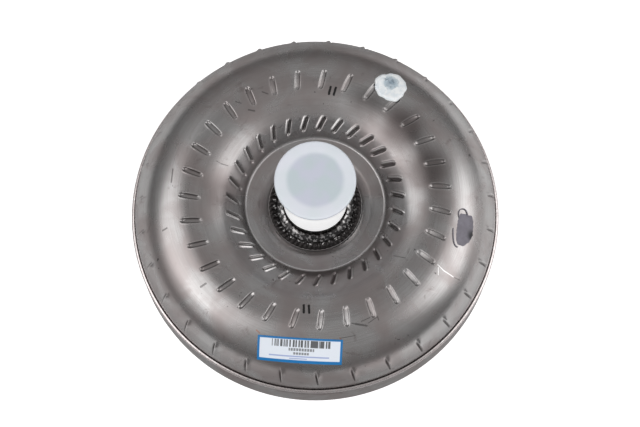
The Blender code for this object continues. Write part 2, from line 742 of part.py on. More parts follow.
def turbine_shell(look):
    centre = (CREST_RADIUS, TURBINE_Z)
    outer_reach = TURBINE_RIM - CREST_RADIUS
    exit_angle = pi - TURBINE_EXIT
    under_reach = TURBINE_REACH + TURBINE_WALL
    outside = arc(centre, outer_reach, -TURBINE_DEPTH, 0, pi / 2, WALL_STEPS)
    outside += arc(centre, under_reach, -TURBINE_DEPTH, pi / 2, exit_angle, 2)[1:-1]
    flange_under = TURBINE_FLANGE_Z - TURBINE_WALL
    meeting = CREST_RADIUS - under_reach * cos(asin((TURBINE_Z - flange_under) / TURBINE_DEPTH))
    flange = [
        (meeting, flange_under),
        (TURBINE_FLANGE_BORE, flange_under),
        (TURBINE_FLANGE_BORE, TURBINE_FLANGE_Z),
    ]
    inner_depth = TURBINE_DEPTH - TURBINE_WALL
    inside = arc(centre, TURBINE_REACH, -inner_depth, exit_angle, pi / 2, 2)
    inside += arc(centre, outer_reach - TURBINE_WALL, -inner_depth, pi / 2, 0, WALL_STEPS)[1:]
    return mesh_of("turbine_shell", turned(outside + flange + inside, MIDDLE_SIDES), look)


def splined_ring(name, teeth, spline, outline, look):
    """A turned ring whose bore has straight splines. outline is (radius, height), and None is the bore."""
    sections = []
    for i in range(2 * teeth):
        angle = pi * i / teeth
        bore = spline[i % 2]
        sections.append([(angle, bore if radius is None else radius, height) for radius, height in outline])
    return mesh_of(name, ring_of_sections(sections), look)


def turbine_hub(look):
    flange_radius = TURBINE_HUB_FLANGE[0]
    outline = [
        (None, TURBINE_HUB_END_Z),
        (TURBINE_HUB_RADIUS, TURBINE_HUB_END_Z),
        (TURBINE_HUB_RADIUS, TURBINE_HUB_UNDER_Z),
        (flange_radius, TURBINE_HUB_UNDER_Z),
        (flange_radius, TURBINE_HUB_Z),
        (None, TURBINE_HUB_Z),
    ]
    return splined_ring("turbine_hub", TURBINE_TEETH, TURBINE_SPLINE, outline, look)


def rivet(look):
    head_radius, head_thick = RIVET_HEAD
    top = TURBINE_FLANGE_Z + GAP
    bottom = DRIVEN_TOP_Z - DRIVEN_PLATE - GAP
    outline = [
        (0.0, bottom - head_thick),
        (head_radius, bottom - head_thick),
        (head_radius, bottom),
        (RIVET_RADIUS, bottom),
        (RIVET_RADIUS, top),
        (head_radius, top),
        (head_radius, top + head_thick),
        (0.0, top + head_thick),
    ]
    bm = turned(outline, RIVET_SIDES)
    bmesh.ops.translate(bm, verts=bm.verts, vec=(RIVET_CIRCLE, 0.0, 0.0))
    return mesh_of("turbine_rivet", bm, look)


def rivet_holes(bottom, top):
    slack = 1.0 * MM
    radius = RIVET_RADIUS / cos(pi / RIVET_SIDES) + GAP
    holes = []
    for i in range(RIVET_COUNT):
        angle = 2 * pi * i / RIVET_COUNT
        centre = (RIVET_CIRCLE * cos(angle), RIVET_CIRCLE * sin(angle))
        holes.append(cylinder(radius, bottom - slack, top + slack, RIVET_SIDES, centre))
    return merged(holes)


def thrust_washer(look):
    inner = SPIGOT_RADIUS + 1.0 * MM
    outline = square_ring(inner, inner + WASHER_WIDTH, WASHER_Z, WASHER_Z + WASHER_THICK)
    return mesh_of("turbine_thrust_washer", turned(outline, SMALL_SIDES), look)


# Lock-up clutch and damper.


def repeated_ring(pattern):
    """A ring whose outline changes with angle: one (angle, outline) pattern for each spring."""
    sections = []
    for i in range(SPRING_COUNT):
        start = 2 * pi * i / SPRING_COUNT
        for angle, outline in pattern:
            sections.append([(start + angle, radius, height) for radius, height in outline])
    return ring_of_sections(sections)


def dog_angles(half):
    """The middles of the piston's dogs, each with this half-width."""
    first = (DOG_FACET + 0.5) * 2 * pi / BIG_SIDES
    return [(first + 2 * pi * i / SPRING_COUNT, half) for i in range(SPRING_COUNT)]


def lockup_piston(look):
    """A disc that slides on the turbine hub, with dogs that key it to the damper."""
    collar = PISTON_BORE + PISTON_COLLAR
    start, end = PISTON_BEAD
    slope = 4.0 * MM
    rise = PISTON_BEAD_RISE
    outline = [
        (PISTON_BORE, PISTON_Z),
        (start, PISTON_Z),
        (start + slope, PISTON_Z + rise),
        (end - slope, PISTON_Z + rise),
        (end, PISTON_Z),
        (PISTON_RADIUS, PISTON_Z),
        (PISTON_RADIUS, PISTON_TOP_Z),
        (DOG_RADII[1], PISTON_TOP_Z),
        (DOG_RADII[0], PISTON_TOP_Z),
        (end - 1 * MM, PISTON_TOP_Z),
        (start + slope, PISTON_TOP_Z + rise),
        (collar, PISTON_TOP_Z),
        (collar, PISTON_Z + PISTON_COLLAR_HEIGHT),
        (PISTON_BORE, PISTON_Z + PISTON_COLLAR_HEIGHT),
    ]
    bm = turned(outline, BIG_SIDES)
    raise_faces(bm, dog_angles(pi / BIG_SIDES), DOG_RADII, PISTON_TOP_Z, DOG_HEIGHT)
    return mesh_of("lockup_piston", bm, look)


def friction_lining(look):
    outline = square_ring(LINING_RADIUS - LINING_WIDTH, LINING_RADIUS, LINING_Z, LINING_Z + LINING_THICK)
    return mesh_of("friction_lining", turned(outline, MIDDLE_SIDES), look)


def piston_seal(look):
    inner = TURBINE_HUB_RADIUS + 0.35 * MM
    bottom = PISTON_Z + PISTON_COLLAR_HEIGHT / 2 - SEAL_HEIGHT / 2
    outline = square_ring(inner, PISTON_BORE - GAP, bottom, bottom + SEAL_HEIGHT)
    return mesh_of("piston_seal", turned(outline, SMALL_SIDES), look)


def damper_drive_plate(look):
    """A flat ring keyed to the piston's dogs, with upright tabs that push the ends of the springs."""
    inner, outer = DRIVE_PLATE_RADII
    bottom, top = DRIVE_PLATE_Z, DRIVE_PLATE_Z + DRIVE_PLATE
    tab_outer = SPRING_PITCH + RUNNING_GAP + TAB_WIDTH
    tab_inner = SPRING_PITCH + RUNNING_GAP
    surface = [(tab_outer, top), (tab_inner, top), (inner, top)]
    flat = [(inner, bottom), (outer, bottom), (outer, top), *surface]
    notch = DOG_RADII[0] - 2 * RUNNING_GAP
    notched = [(inner, bottom), (notch, bottom), (notch, top), *surface]
    dog = dog_angles(pi / BIG_SIDES + 2 * RUNNING_GAP / DOG_RADII[0])[0]
    step = radians(0.3)
    pattern = [(-TAB_HALF_ARC, flat), (0.0, flat), (TAB_HALF_ARC, flat)]
    pattern += [(dog[0] - dog[1] - step, flat), (dog[0] - dog[1], notched)]
    pattern += [(dog[0] + dog[1], notched), (dog[0] + dog[1] + step, flat), (radians(40), flat)]
    bm = repeated_ring(pattern)
    tabs = [(2 * pi * i / SPRING_COUNT, TAB_HALF_ARC) for i in range(SPRING_COUNT)]
    raise_faces(bm, tabs, (tab_inner - RUNNING_GAP, tab_outer), top, TAB_REACH)
    return mesh_of("damper_drive_plate", bm, look)


def damper_driven_plate(look):
    """A dished plate riveted to the turbine hub, with fingers that the springs push round."""
    inner, outer = DRIVEN_PLATE_RADII
    low = SPRING_Z - DRIVEN_PLATE / 2
    high = SPRING_Z + DRIVEN_PLATE / 2
    dish_start, dish_end = DRIVEN_DISH
    under = DRIVEN_TOP_Z - DRIVEN_PLATE
    top = [(inner, DRIVEN_TOP_Z), (dish_start, DRIVEN_TOP_Z), (dish_end, high)]
    bottom = [(dish_end, low), (dish_start, under), (inner, under)]
    plate = top + [(outer, high), (outer, low)] + bottom
    reach = SPRING_PITCH - RUNNING_GAP
    finger = top + [(reach, high), (reach, low)] + bottom
    step = radians(0.4)
    half_pitch = pi / SPRING_COUNT
    pattern = [(-TAB_HALF_ARC, finger), (0.0, finger), (TAB_HALF_ARC, finger), (TAB_HALF_ARC + step, plate)]
    pattern += [(half_pitch - radians(6), plate), (half_pitch + radians(6), plate)]
    pattern += [(2 * half_pitch - TAB_HALF_ARC - step, plate)]
    return mesh_of("damper_driven_plate", repeated_ring(pattern), look)


def damper_spring(name, look):
    """A coil spring whose axis is an arc round the converter, between its finger and its tab."""
    curve = bpy.data.curves.new(name, "CURVE")
    curve.dimensions = "3D"
    curve.bevel_depth = SPRING_WIRE
    curve.bevel_resolution = 0
    curve.use_fill_caps = True
    spline = curve.splines.new("POLY")
    count = SPRING_TURNS * SPRING_TURN_POINTS + 1
    spline.points.add(count - 1)
    coil = SPRING_COIL - SPRING_WIRE
    end_room = (SPRING_WIRE + GAP) / SPRING_PITCH
    start = TAB_HALF_ARC + end_room
    end = 2 * pi / SPRING_COUNT - TAB_HALF_ARC - end_room
    for i in range(count):
        share = i / (count - 1)
        turn = 2 * pi * SPRING_TURNS * share
        angle = start + (end - start) * share
        radius = SPRING_PITCH + coil * cos(turn)
        spline.points[i].co = (radius * cos(angle), radius * sin(angle), SPRING_Z + coil * sin(turn), 1.0)
    curve.materials.append(look)
    return curve


# Stator, one-way clutch and bearings.


def stator_rings(look):
    """The hub ring and the outer ring of the stator casting."""
    hub = square_ring(STATOR_HUB_BORE, STATOR_HUB_OUTER, STATOR_Z, STATOR_TOP_Z)
    inner, outer = STATOR_RING_RADII
    bottom = STATOR_Z + STATOR_BLADE_START + STATOR_SHOULDER
    rim = square_ring(inner, outer, bottom, STATOR_TOP_Z + STATOR_SHOULDER)
    rings = merged([turned(outline, 2 * STATOR_BLADES) for outline in (hub, rim)])
    return mesh_of("stator_wheel", rings, look)


def stator_blades():
    """Swept blades, thick at the edge that meets the flow, reaching a little into both rings."""
    first, last = STATOR_Z + STATOR_BLADE_START, STATOR_TOP_Z - STATOR_SHOULDER
    heights = steps_between(first, last, len(STATOR_BLADE_ARCS))
    radii = (STATOR_HUB_OUTER - STATOR_BLADE_ROOT, STATOR_RING_RADII[0] + STATOR_BLADE_ROOT)
    blades = []
    for blade in range(STATOR_BLADES):
        bm = bmesh.new()
        start = 2 * pi * blade / STATOR_BLADES
        loops = []
        for radius in radii:
            loop = []
            for side in (1, -1):
                for j in range(len(heights))[::side]:
                    angle = start + STATOR_BLADE_SWEEP[j] + side * STATOR_BLADE_ARCS[j]
                    lift = STATOR_SHOULDER * (radius == radii[1])
                    loop.append(bm.verts.new((radius * cos(angle), radius * sin(angle), heights[j] + lift)))
            loops.append(loop)
        count = len(loops[0])
        half = count // 2
        for i in range(count):
            j = (i + 1) % count
            bm.faces.new((loops[0][i], loops[0][j], loops[1][j], loops[1][i]))
        for loop in loops:
            for i in range(half - 1):
                bm.faces.new((loop[i], loop[i + 1], loop[count - 2 - i], loop[count - 1 - i]))
        blades.append(bm)
    return merged(blades)


def clutch_cam_race(look):
    """The outer race: each pocket's roof is a ramp that wedges its roller."""
    roof = RACE_RADIUS + GAP + 2 * ROLLER_RADIUS
    step = radians(0.6)
    pattern = (
        (-POCKET_ARC / 2 - step, CAM_TOOTH),
        (-POCKET_ARC / 2, roof + POCKET_DEPTH[0]),
        (POCKET_ARC / 2, roof + POCKET_DEPTH[1]),
        (POCKET_ARC / 2 + step, CAM_TOOTH),
    )
    sections = []
    for i in range(ROLLER_COUNT):
        for angle, bore in pattern:
            turn = 2 * pi * i / ROLLER_COUNT + angle
            sections.append([(turn, r, z) for r, z in square_ring(bore, CAM_RADIUS, CAM_Z, CAM_TOP_Z)])
    return mesh_of("clutch_cam_race", ring_of_sections(sections), look)


def clutch_roller(look):
    centre = (RACE_RADIUS + GAP + ROLLER_RADIUS, 0.0)
    bottom = CAM_Z + GAP + CAGE_RING + GAP
    roller = cylinder(ROLLER_RADIUS, bottom, CAM_TOP_Z - GAP, ROLLER_SIDES, centre)
    return mesh_of("clutch_roller", roller, look)


def clutch_spring_cage(look):
    """A thin ring with one upright leaf behind each roller."""
    inner, outer = RACE_RADIUS + 2 * RUNNING_GAP, CAM_TOOTH - RUNNING_GAP
    bottom, top = CAM_Z + GAP, CAM_Z + GAP + CAGE_RING
    leaf_inner, leaf_outer = inner + 0.9 * MM, outer - 0.8 * MM
    leaf_angle = -(ROLLER_RADIUS + 1.2 * MM) / (RACE_RADIUS + ROLLER_RADIUS)
    surface = [(leaf_outer, top), (leaf_inner, top), (inner, top)]
    outline = [(inner, bottom), (outer, bottom), (outer, top), *surface]
    pitch = 2 * pi / ROLLER_COUNT
    sections = []
    for i in range(ROLLER_COUNT):
        for angle in (leaf_angle - CAGE_LEAF, leaf_angle, pitch / 2 + leaf_angle):
            sections.append([(i * pitch + angle, r, z) for r, z in outline])
    bm = ring_of_sections(sections)
    leaves = [(i * pitch + leaf_angle - CAGE_LEAF / 2, CAGE_LEAF) for i in range(ROLLER_COUNT)]
    raise_faces(bm, leaves, (leaf_inner, leaf_outer), top, CAM_TOP_Z - GAP - top)
    return mesh_of("clutch_spring_cage", bm, look)


def clutch_inner_race(look):
    outline = [
        (None, INNER_RACE_Z),
        (RACE_RADIUS, INNER_RACE_Z),
        (RACE_RADIUS, INNER_RACE_TOP_Z),
        (None, INNER_RACE_TOP_Z),
    ]
    return splined_ring("clutch_inner_race", RACE_TEETH, RACE_SPLINE, outline, look)


def stator_cap(name, bottom, look):
    outline = square_ring(BEARING_RADII[1] + RUNNING_GAP, CAM_RADIUS, bottom, bottom + CAP_PLATE)
    return mesh_of(name, turned(outline, SMALL_SIDES), look)


def bearing_race(name, bottom, look):
    outline = square_ring(*BEARING_RADII, bottom, bottom + BEARING_RACE)
    return mesh_of(name, turned(outline, SMALL_SIDES), look)


def needle_cage(name, bottom, look):
    """A cage with its radial needles, which stand proud of it on both faces."""
    inner, outer = BEARING_RADII
    middle = bottom + NEEDLE / 2
    half_needle = NEEDLE / 2 / outer
    lip = half_needle * 0.45
    sections = []
    for i in range(NEEDLE_COUNT):
        centre = 2 * pi * i / NEEDLE_COUNT
        for angle, half in (
            (-half_needle, NEEDLE_CAGE / 2),
            (-lip, NEEDLE / 2),
            (lip, NEEDLE / 2),
            (half_needle, NEEDLE_CAGE / 2),
        ):
            outline = square_ring(inner, outer, middle - half, middle + half)
            sections.append([(centre + angle, radius, height) for radius, height in outline])
    return mesh_of(name, ring_of_sections(sections), look)


def build():
    clear_scene()
    pressed = finish("pressed_steel", (0.33, 0.31, 0.30), 0.38, 1.0)
    machined = finish("machined_steel", (0.52, 0.51, 0.50), 0.28, 1.0)
    weld = finish("weld_bead", (0.22, 0.21, 0.20), 0.35, 1.0)
    spring_steel = finish("spring_steel", (0.30, 0.31, 0.34), 0.35, 1.0)
    cast_aluminium = finish("cast_aluminium", (0.62, 0.63, 0.64), 0.5, 1.0)
    lining = finish("friction_paper", (0.17, 0.12, 0.08), 0.9, 0.0)
    rubber = finish("seal_rubber", (0.02, 0.02, 0.02), 0.6, 0.0)
    nylon = finish("nylon", (0.75, 0.70, 0.58), 0.5, 0.0)
    cap_plastic = finish("cap_polyethylene", (0.80, 0.84, 0.88), 0.35, 0.0)
    label_paper = finish("label_vinyl", (0.85, 0.87, 0.90), 0.45, 0.0)
    sealant = finish("sealant", (0.85, 0.87, 0.88), 0.6, 0.0)

    housing = body_on_axis("housing")
    cap = body_on_axis("cap", housing)
    turbine = body_on_axis("turbine", housing)
    damper = body_on_axis("damper", turbine)
    piston = body_on_axis("piston", damper)
    inner_race = body_on_axis("inner_race", housing)
    stator = body_on_axis("stator", inner_race)
    front_bearing = body_on_axis("front_bearing", housing)
    rear_bearing = body_on_axis("rear_bearing", housing)

    place("front_cover", front_cover(pressed), housing)
    place("crank_pilot", crank_pilot(machined), housing)
    place("pilot_weld", pilot_weld(weld), housing)
    lug = mounting_lug(machined)
    for i in range(LUG_COUNT):
        turn = LUG_FIRST_ANGLE + 2 * pi * i / LUG_COUNT
        cut(place(f"mounting_lug_{i + 1}", lug, housing, turn), lug_hole())
    weight = balance_weight(machined)
    for i, turn in enumerate(WEIGHT_ANGLES):
        place(f"balance_weight_{i + 1}", weight, housing, turn)

    place("impeller_shell", impeller_shell(pressed), housing)
    place("closure_weld", closure_weld(weld), housing)
    cut(place("impeller_hub", impeller_hub(machined), housing), hub_notches())
    place("hub_weld", hub_weld(weld), housing)
    place("impeller_blades", impeller_blades(pressed), housing)
    place("information_label", information_label(label_paper), housing)
    place("sealing_patch", sealing_patch(sealant), housing)
    place("shipping_cap", shipping_cap(cap_plastic), cap)

    shell = place("turbine_shell", turbine_shell(pressed), turbine)
    cut(shell, rivet_holes(TURBINE_FLANGE_Z - TURBINE_WALL, TURBINE_FLANGE_Z))
    place("turbine_blades", turbine_blades(pressed), turbine)
    hub = place("turbine_hub", turbine_hub(machined), turbine)
    cut(hub, rivet_holes(TURBINE_HUB_UNDER_Z, TURBINE_HUB_Z))
    driven = place("damper_driven_plate", damper_driven_plate(pressed), turbine)
    cut(driven, rivet_holes(DRIVEN_TOP_Z - DRIVEN_PLATE, DRIVEN_TOP_Z))
    one_rivet = rivet(machined)
    for i in range(RIVET_COUNT):
        place(f"turbine_rivet_{i + 1}", one_rivet, turbine, 2 * pi * i / RIVET_COUNT)
    place("turbine_thrust_washer", thrust_washer(nylon), turbine)
    place("front_bearing_race", bearing_race("front_bearing_race", FRONT_RACE_Z, machined), turbine)

    place("damper_drive_plate", damper_drive_plate(pressed), damper)
    for i in range(SPRING_COUNT):
        name = f"damper_spring_{i + 1}"
        place(name, damper_spring(name, spring_steel), damper, 2 * pi * i / SPRING_COUNT)

    place("lockup_piston", lockup_piston(pressed), piston)
    place("friction_lining", friction_lining(lining), piston)
    place("piston_seal", piston_seal(rubber), piston)

    wheel = place("stator_wheel", stator_rings(cast_aluminium), stator)
    combine(wheel, stator_blades(), "UNION")
    place("clutch_cam_race", clutch_cam_race(machined), stator)
    one_roller = clutch_roller(machined)
    for i in range(ROLLER_COUNT):
        place(f"clutch_roller_{i + 1}", one_roller, stator, 2 * pi * i / ROLLER_COUNT)
    place("clutch_spring_cage", clutch_spring_cage(spring_steel), stator)
    place("stator_front_cap", stator_cap("stator_front_cap", STATOR_Z, machined), stator)
    place("stator_rear_cap", stator_cap("stator_rear_cap", CAM_TOP_Z + GAP, machined), stator)

    place("clutch_inner_race", clutch_inner_race(machined), inner_race)
    place("front_needle_cage", needle_cage("front_needle_cage", FRONT_CAGE_Z, machined), front_bearing)
    place("rear_needle_cage", needle_cage("rear_needle_cage", REAR_CAGE_Z, machined), rear_bearing)
    place("rear_bearing_race", bearing_race("rear_bearing_race", REAR_RACE_Z, machined), housing)


build()
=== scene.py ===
# %% [markdown]
# A torque converter is a sealed steel doughnut that sits between an engine and an automatic gearbox.
# We see it from its gearbox side: the pressed impeller shell, the drive hub in the middle under a plastic
# shipping cap, and the weld that closes the shell on the front cover.
# The CAD model already has every piece at its true size. This lesson gives the visible pieces their fine
# shape and all of them their finish. A smooth skin could be sculpted over the CAD, but reading its sizes
# and turning or repeating fresh profiles keeps each new piece exactly where the old one was.

from math import atan2, cos, exp, hypot, pi, radians, sin, sqrt

import bmesh
import bpy
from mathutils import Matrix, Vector


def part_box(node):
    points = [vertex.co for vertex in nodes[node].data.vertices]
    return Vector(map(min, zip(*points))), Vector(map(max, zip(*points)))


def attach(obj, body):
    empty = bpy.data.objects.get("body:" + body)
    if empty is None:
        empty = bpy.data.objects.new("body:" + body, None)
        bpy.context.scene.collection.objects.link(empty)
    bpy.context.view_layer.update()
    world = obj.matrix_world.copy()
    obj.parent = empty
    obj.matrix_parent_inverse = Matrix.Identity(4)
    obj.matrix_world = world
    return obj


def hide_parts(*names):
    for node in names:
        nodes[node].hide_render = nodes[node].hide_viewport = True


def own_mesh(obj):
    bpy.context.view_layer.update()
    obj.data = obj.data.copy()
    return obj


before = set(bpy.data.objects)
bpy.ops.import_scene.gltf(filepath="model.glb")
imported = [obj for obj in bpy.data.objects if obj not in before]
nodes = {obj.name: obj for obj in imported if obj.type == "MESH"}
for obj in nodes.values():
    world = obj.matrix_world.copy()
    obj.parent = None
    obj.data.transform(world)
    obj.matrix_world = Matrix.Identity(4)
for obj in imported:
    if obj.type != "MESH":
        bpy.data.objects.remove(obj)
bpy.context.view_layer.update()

# %% [markdown]
# Sizes come from the CAD nodes, so that a new piece can't drift away from the old one. A node's box gives
# its reach from the axis and its top and bottom, because every round piece is centred on the Z axis.

# %% Read the sizes of the round pieces
MM = 0.001


def reach_and_heights(node):
    """How far a round node reaches from the axis, and its bottom and top."""
    low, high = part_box(node)
    return high.x, low.z, high.z


SHELL_RIM, SHELL_BOTTOM, CREST_Z = reach_and_heights("impeller_shell")
COVER_RADIUS, COVER_BOTTOM, LIP_Z = reach_and_heights("front_cover")
BEAD_REACH, BEAD_BOTTOM, BEAD_TOP = reach_and_heights("closure_weld")
HUB_FLANGE, HUB_BOTTOM, HUB_TOP = reach_and_heights("impeller_hub")
WELD_REACH, WELD_BOTTOM, WELD_TOP = reach_and_heights("hub_weld")
CAP_REACH, CAP_BOTTOM, CAP_TOP = reach_and_heights("shipping_cap")
PILOT_REACH, PILOT_BOTTOM, PILOT_TOP = reach_and_heights("crank_pilot")
print(f"shell reach {SHELL_RIM / MM:.1f} mm, crest at {CREST_Z / MM:.1f} mm, cap top {CAP_TOP / MM:.1f} mm")

# %% [markdown]
# Most of this object is turned, like work on a lathe: a closed outline of radius and height swept round Z.
# Blender's Screw modifier or bmesh's spin could do it, but both leave doubled seams and can turn a shape
# inside out. Joining ring to ring by hand gives clean rings, and a corner can be eased with a small curve
# first, because pressed steel never has a sharp corner and an eased corner is what catches the light.

# %% Helpers for turned pieces


def ease_corners(corners, steps=5):
    """Rounds an outline's corners. Each corner is (radius, height, ease), and ease is where the curve starts."""
    eased = []
    count = len(corners)
    for i, (r, z, ease) in enumerate(corners):
        here = Vector((r, z))
        if ease <= 0:
            eased.append((r, z))
            continue
        before = Vector(corners[i - 1][:2]) - here
        after = Vector(corners[(i + 1) % count][:2]) - here
        start = here + before.normalized() * min(ease, before.length * 0.49)
        end = here + after.normalized() * min(ease, after.length * 0.49)
        for k in range(steps + 1):
            t = k / steps
            spot = start * (1 - t) ** 2 + here * 2 * t * (1 - t) + end * t**2
            eased.append((spot.x, spot.y))
    return eased


def new_piece(name, bm, look, sharp=35):
    """Closes a bmesh into an object with its finish, smooth except where faces meet sharply."""
    bmesh.ops.remove_doubles(bm, verts=bm.verts, dist=1e-7)
    bmesh.ops.recalc_face_normals(bm, faces=bm.faces)
    mesh = bpy.data.meshes.new(name)
    bm.to_mesh(mesh)
    bm.free()
    mesh.materials.append(look)
    mesh.shade_smooth()
    mesh.set_sharp_from_angle(angle=radians(sharp))
    piece = bpy.data.objects.new(name, mesh)
    bpy.context.scene.collection.objects.link(piece)
    return piece


def turned(outline, sides, wobble=None):
    """Sweeps a closed outline of (radius, height) round Z. wobble(radius, height, angle) may move a point."""
    bm = bmesh.new()
    rings = []
    for r, z in outline:
        if r < 1e-6:
            rings.append([bm.verts.new((0, 0, z))] * sides)
            continue
        ring = []
        for i in range(sides):
            angle = 2 * pi * i / sides
            a, b = wobble(r, z, angle) if wobble else (r, z)
            ring.append(bm.verts.new((a * cos(angle), a * sin(angle), b)))
        rings.append(ring)
    for k, ring in enumerate(rings):
        other = rings[(k + 1) % len(rings)]
        for i in range(sides):
            j = (i + 1) % sides
            corners = []
            for v in (ring[i], ring[j], other[j], other[i]):
                if v not in corners:
                    corners.append(v)
            if len(corners) > 2:
                bm.faces.new(corners)
    return bm


def put_on(piece, body, *stands_for, slot=None):
    """Rides the piece on its body, in place of the CAD nodes that it stands for."""
    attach(piece, body)
    if stands_for:
        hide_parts(*stands_for)
    print(piece.name, "has", sum(len(p.vertices) - 2 for p in piece.data.polygons), "triangles")
    return piece


# %% [markdown]
# Blade marks, weld ripples, threads and bearing rollers all repeat round the axis. An Array modifier with an
# offset object would do it, but it needs a helper object for each piece. One small Geometry Nodes tree with named
# inputs serves the blade marks and the weld beads here: it places copies of a single pattern at equal turns,
# makes them real, joins their seams and gives them their material. Its result is then kept as a plain mesh.

# %% A tree that repeats a pattern round the axis


def tree_socket(tree, label, kind, default=None):
    socket = tree.interface.new_socket(label, in_out="INPUT", socket_type=kind)
    if default is not None:
        socket.default_value = default
    return socket.identifier


def build_round_tree():
    tree = bpy.data.node_groups.new("repeat_round_axis", "GeometryNodeTree")
    tree.interface.new_socket("Geometry", in_out="INPUT", socket_type="NodeSocketGeometry")
    tree.interface.new_socket("Geometry", in_out="OUTPUT", socket_type="NodeSocketGeometry")
    keys = {
        "Count": tree_socket(tree, "Count", "NodeSocketInt", 12),
        "Turn": tree_socket(tree, "Turn", "NodeSocketFloat", 0.5),
        "Rise": tree_socket(tree, "Rise", "NodeSocketFloat", 0.0),
        "Seam": tree_socket(tree, "Seam", "NodeSocketFloat", 1e-6),
        "Material": tree_socket(tree, "Material", "NodeSocketMaterial"),
    }
    new, link = tree.nodes.new, tree.links.new
    start, end = new("NodeGroupInput"), new("NodeGroupOutput")
    line, index = new("GeometryNodeMeshLine"), new("GeometryNodeInputIndex")
    climb, turn = new("ShaderNodeCombineXYZ"), new("ShaderNodeCombineXYZ")
    angle, euler = new("ShaderNodeMath"), new("FunctionNodeEulerToRotation")
    angle.operation = "MULTIPLY"
    copies, real = new("GeometryNodeInstanceOnPoints"), new("GeometryNodeRealizeInstances")
    seam, paint = new("GeometryNodeMergeByDistance"), new("GeometryNodeSetMaterial")
    link(start.outputs["Count"], line.inputs["Count"])
    link(start.outputs["Rise"], climb.inputs["Z"])
    link(climb.outputs["Vector"], line.inputs["Offset"])
    link(index.outputs["Index"], angle.inputs[0])
    link(start.outputs["Turn"], angle.inputs[1])
    link(angle.outputs[0], turn.inputs["Z"])
    link(turn.outputs["Vector"], euler.inputs[0])
    link(line.outputs["Mesh"], copies.inputs["Points"])
    link(start.outputs["Geometry"], copies.inputs["Instance"])
    link(euler.outputs[0], copies.inputs["Rotation"])
    link(copies.outputs["Instances"], real.inputs["Geometry"])
    link(real.outputs["Geometry"], seam.inputs["Geometry"])
    link(start.outputs["Seam"], seam.inputs["Distance"])
    link(seam.outputs["Geometry"], paint.inputs["Geometry"])
    link(start.outputs["Material"], paint.inputs["Material"])
    link(paint.outputs["Geometry"], end.inputs["Geometry"])
    return tree, keys


round_tree, round_keys = build_round_tree()


def repeat_round(piece, count, turn=None, rise=0.0, seam=1e-6, sharp=35):
    """Repeats a piece round Z and keeps the result as its plain mesh."""
    grow = piece.modifiers.new("repeat", "NODES")
    grow.node_group = round_tree
    grow[round_keys["Count"]] = count
    grow[round_keys["Turn"]] = 2 * pi / count if turn is None else turn
    grow[round_keys["Rise"]] = rise
    grow[round_keys["Seam"]] = seam
    grow[round_keys["Material"]] = piece.data.materials[0]
    bpy.context.view_layer.update()
    grown = piece.evaluated_get(bpy.context.evaluated_depsgraph_get())
    mesh = bpy.data.meshes.new_from_object(grown)
    piece.modifiers.remove(grow)
    mesh.name = piece.name
    mesh.shade_smooth()
    mesh.set_sharp_from_angle(angle=radians(sharp))
    piece.data = mesh
    return piece


print("the tree's inputs are", ", ".join(round_keys))

# %% [markdown]
# Finishes are node materials that read Object coordinates. Every piece lies in the same frame with its
# object at the origin, so one ring of turning marks runs true over all of them. Wiring nodes by hand in
# the editor is fine for one material; a small helper that places a node and links it keeps many readable.

# %% A helper that wires nodes


class Wires:
    """Places nodes in a tree and links them. Inputs may be numbers, colours or another node's output."""

    def __init__(self, tree):
        self.tree = tree

    def node(self, kind, inputs=None, **settings):
        made = self.tree.nodes.new(kind)
        for key, value in settings.items():
            setattr(made, key, value)
        for key, value in (inputs or {}).items():
            if isinstance(value, bpy.types.NodeSocket):
                self.tree.links.new(value, made.inputs[key])
            else:
                made.inputs[key].default_value = value
        return made

    def math(self, operation, a, b=0.0, c=0.0, clamp=False):
        made = self.node("ShaderNodeMath", {0: a, 1: b, 2: c}, operation=operation, use_clamp=clamp)
        return made.outputs[0]

    def vector(self, operation, a, b=None, scale=None, out=0):
        inputs = {0: a}
        if b is not None:
            inputs[1] = b
        if scale is not None:
            inputs["Scale"] = scale
        return self.node("ShaderNodeVectorMath", inputs, operation=operation).outputs[out]

    def ramp(self, value, low, high, start=0.0, end=1.0):
        """Eases a value from start to end as it goes from low to high."""
        inputs = {"Value": value, "From Min": low, "From Max": high, "To Min": start, "To Max": end}
        return self.node("ShaderNodeMapRange", inputs, interpolation_type="SMOOTHSTEP").outputs[0]

    def noise(self, place, scale, detail=2.0, roughness=0.5, distortion=0.0):
        inputs = {"Vector": place, "Scale": scale, "Detail": detail}
        inputs.update({"Roughness": roughness, "Distortion": distortion})
        return self.node("ShaderNodeTexNoise", inputs).outputs[0]

    def colour(self, share, low, high, blend="MIX"):
        made = self.node("ShaderNodeMix", data_type="RGBA", blend_type=blend)
        for socket, value in ((made.inputs[0], share), (made.inputs[6], low), (made.inputs[7], high)):
            if isinstance(value, bpy.types.NodeSocket):
                self.tree.links.new(value, socket)
            else:
                socket.default_value = value
        return made.outputs[2]

    def group(self, tree, **inputs):
        made = self.node("ShaderNodeGroup", node_tree=tree)
        for key, value in inputs.items():
            socket = made.inputs[key]
            if isinstance(value, bpy.types.NodeSocket):
                self.tree.links.new(value, socket)
            else:
                socket.default_value = value
        return made


def grey(value, warm=0.0):
    """A grey, a little red where warm is above 0 and a little blue where it is below."""
    return (value * (1 + warm), value * (1 - 0.35 * abs(warm)), value * (1 - 0.5 * warm), 1.0)


def shader_group(name, inputs, outputs):
    """Starts a shader node group. Returns its wires, its input sockets by name and its output node."""
    tree = bpy.data.node_groups.new(name, "ShaderNodeTree")
    kinds = {"v": "NodeSocketVector", "f": "NodeSocketFloat", "c": "NodeSocketColor"}
    for label, kind, default in inputs:
        socket = tree.interface.new_socket(label, in_out="INPUT", socket_type=kinds[kind])
        if default is not None:
            socket.default_value = default
    for label, kind in outputs:
        tree.interface.new_socket(label, in_out="OUTPUT", socket_type=kinds[kind])
    wires = Wires(tree)
    start, end = wires.node("NodeGroupInput"), wires.node("NodeGroupOutput")
    return wires, start.outputs, end


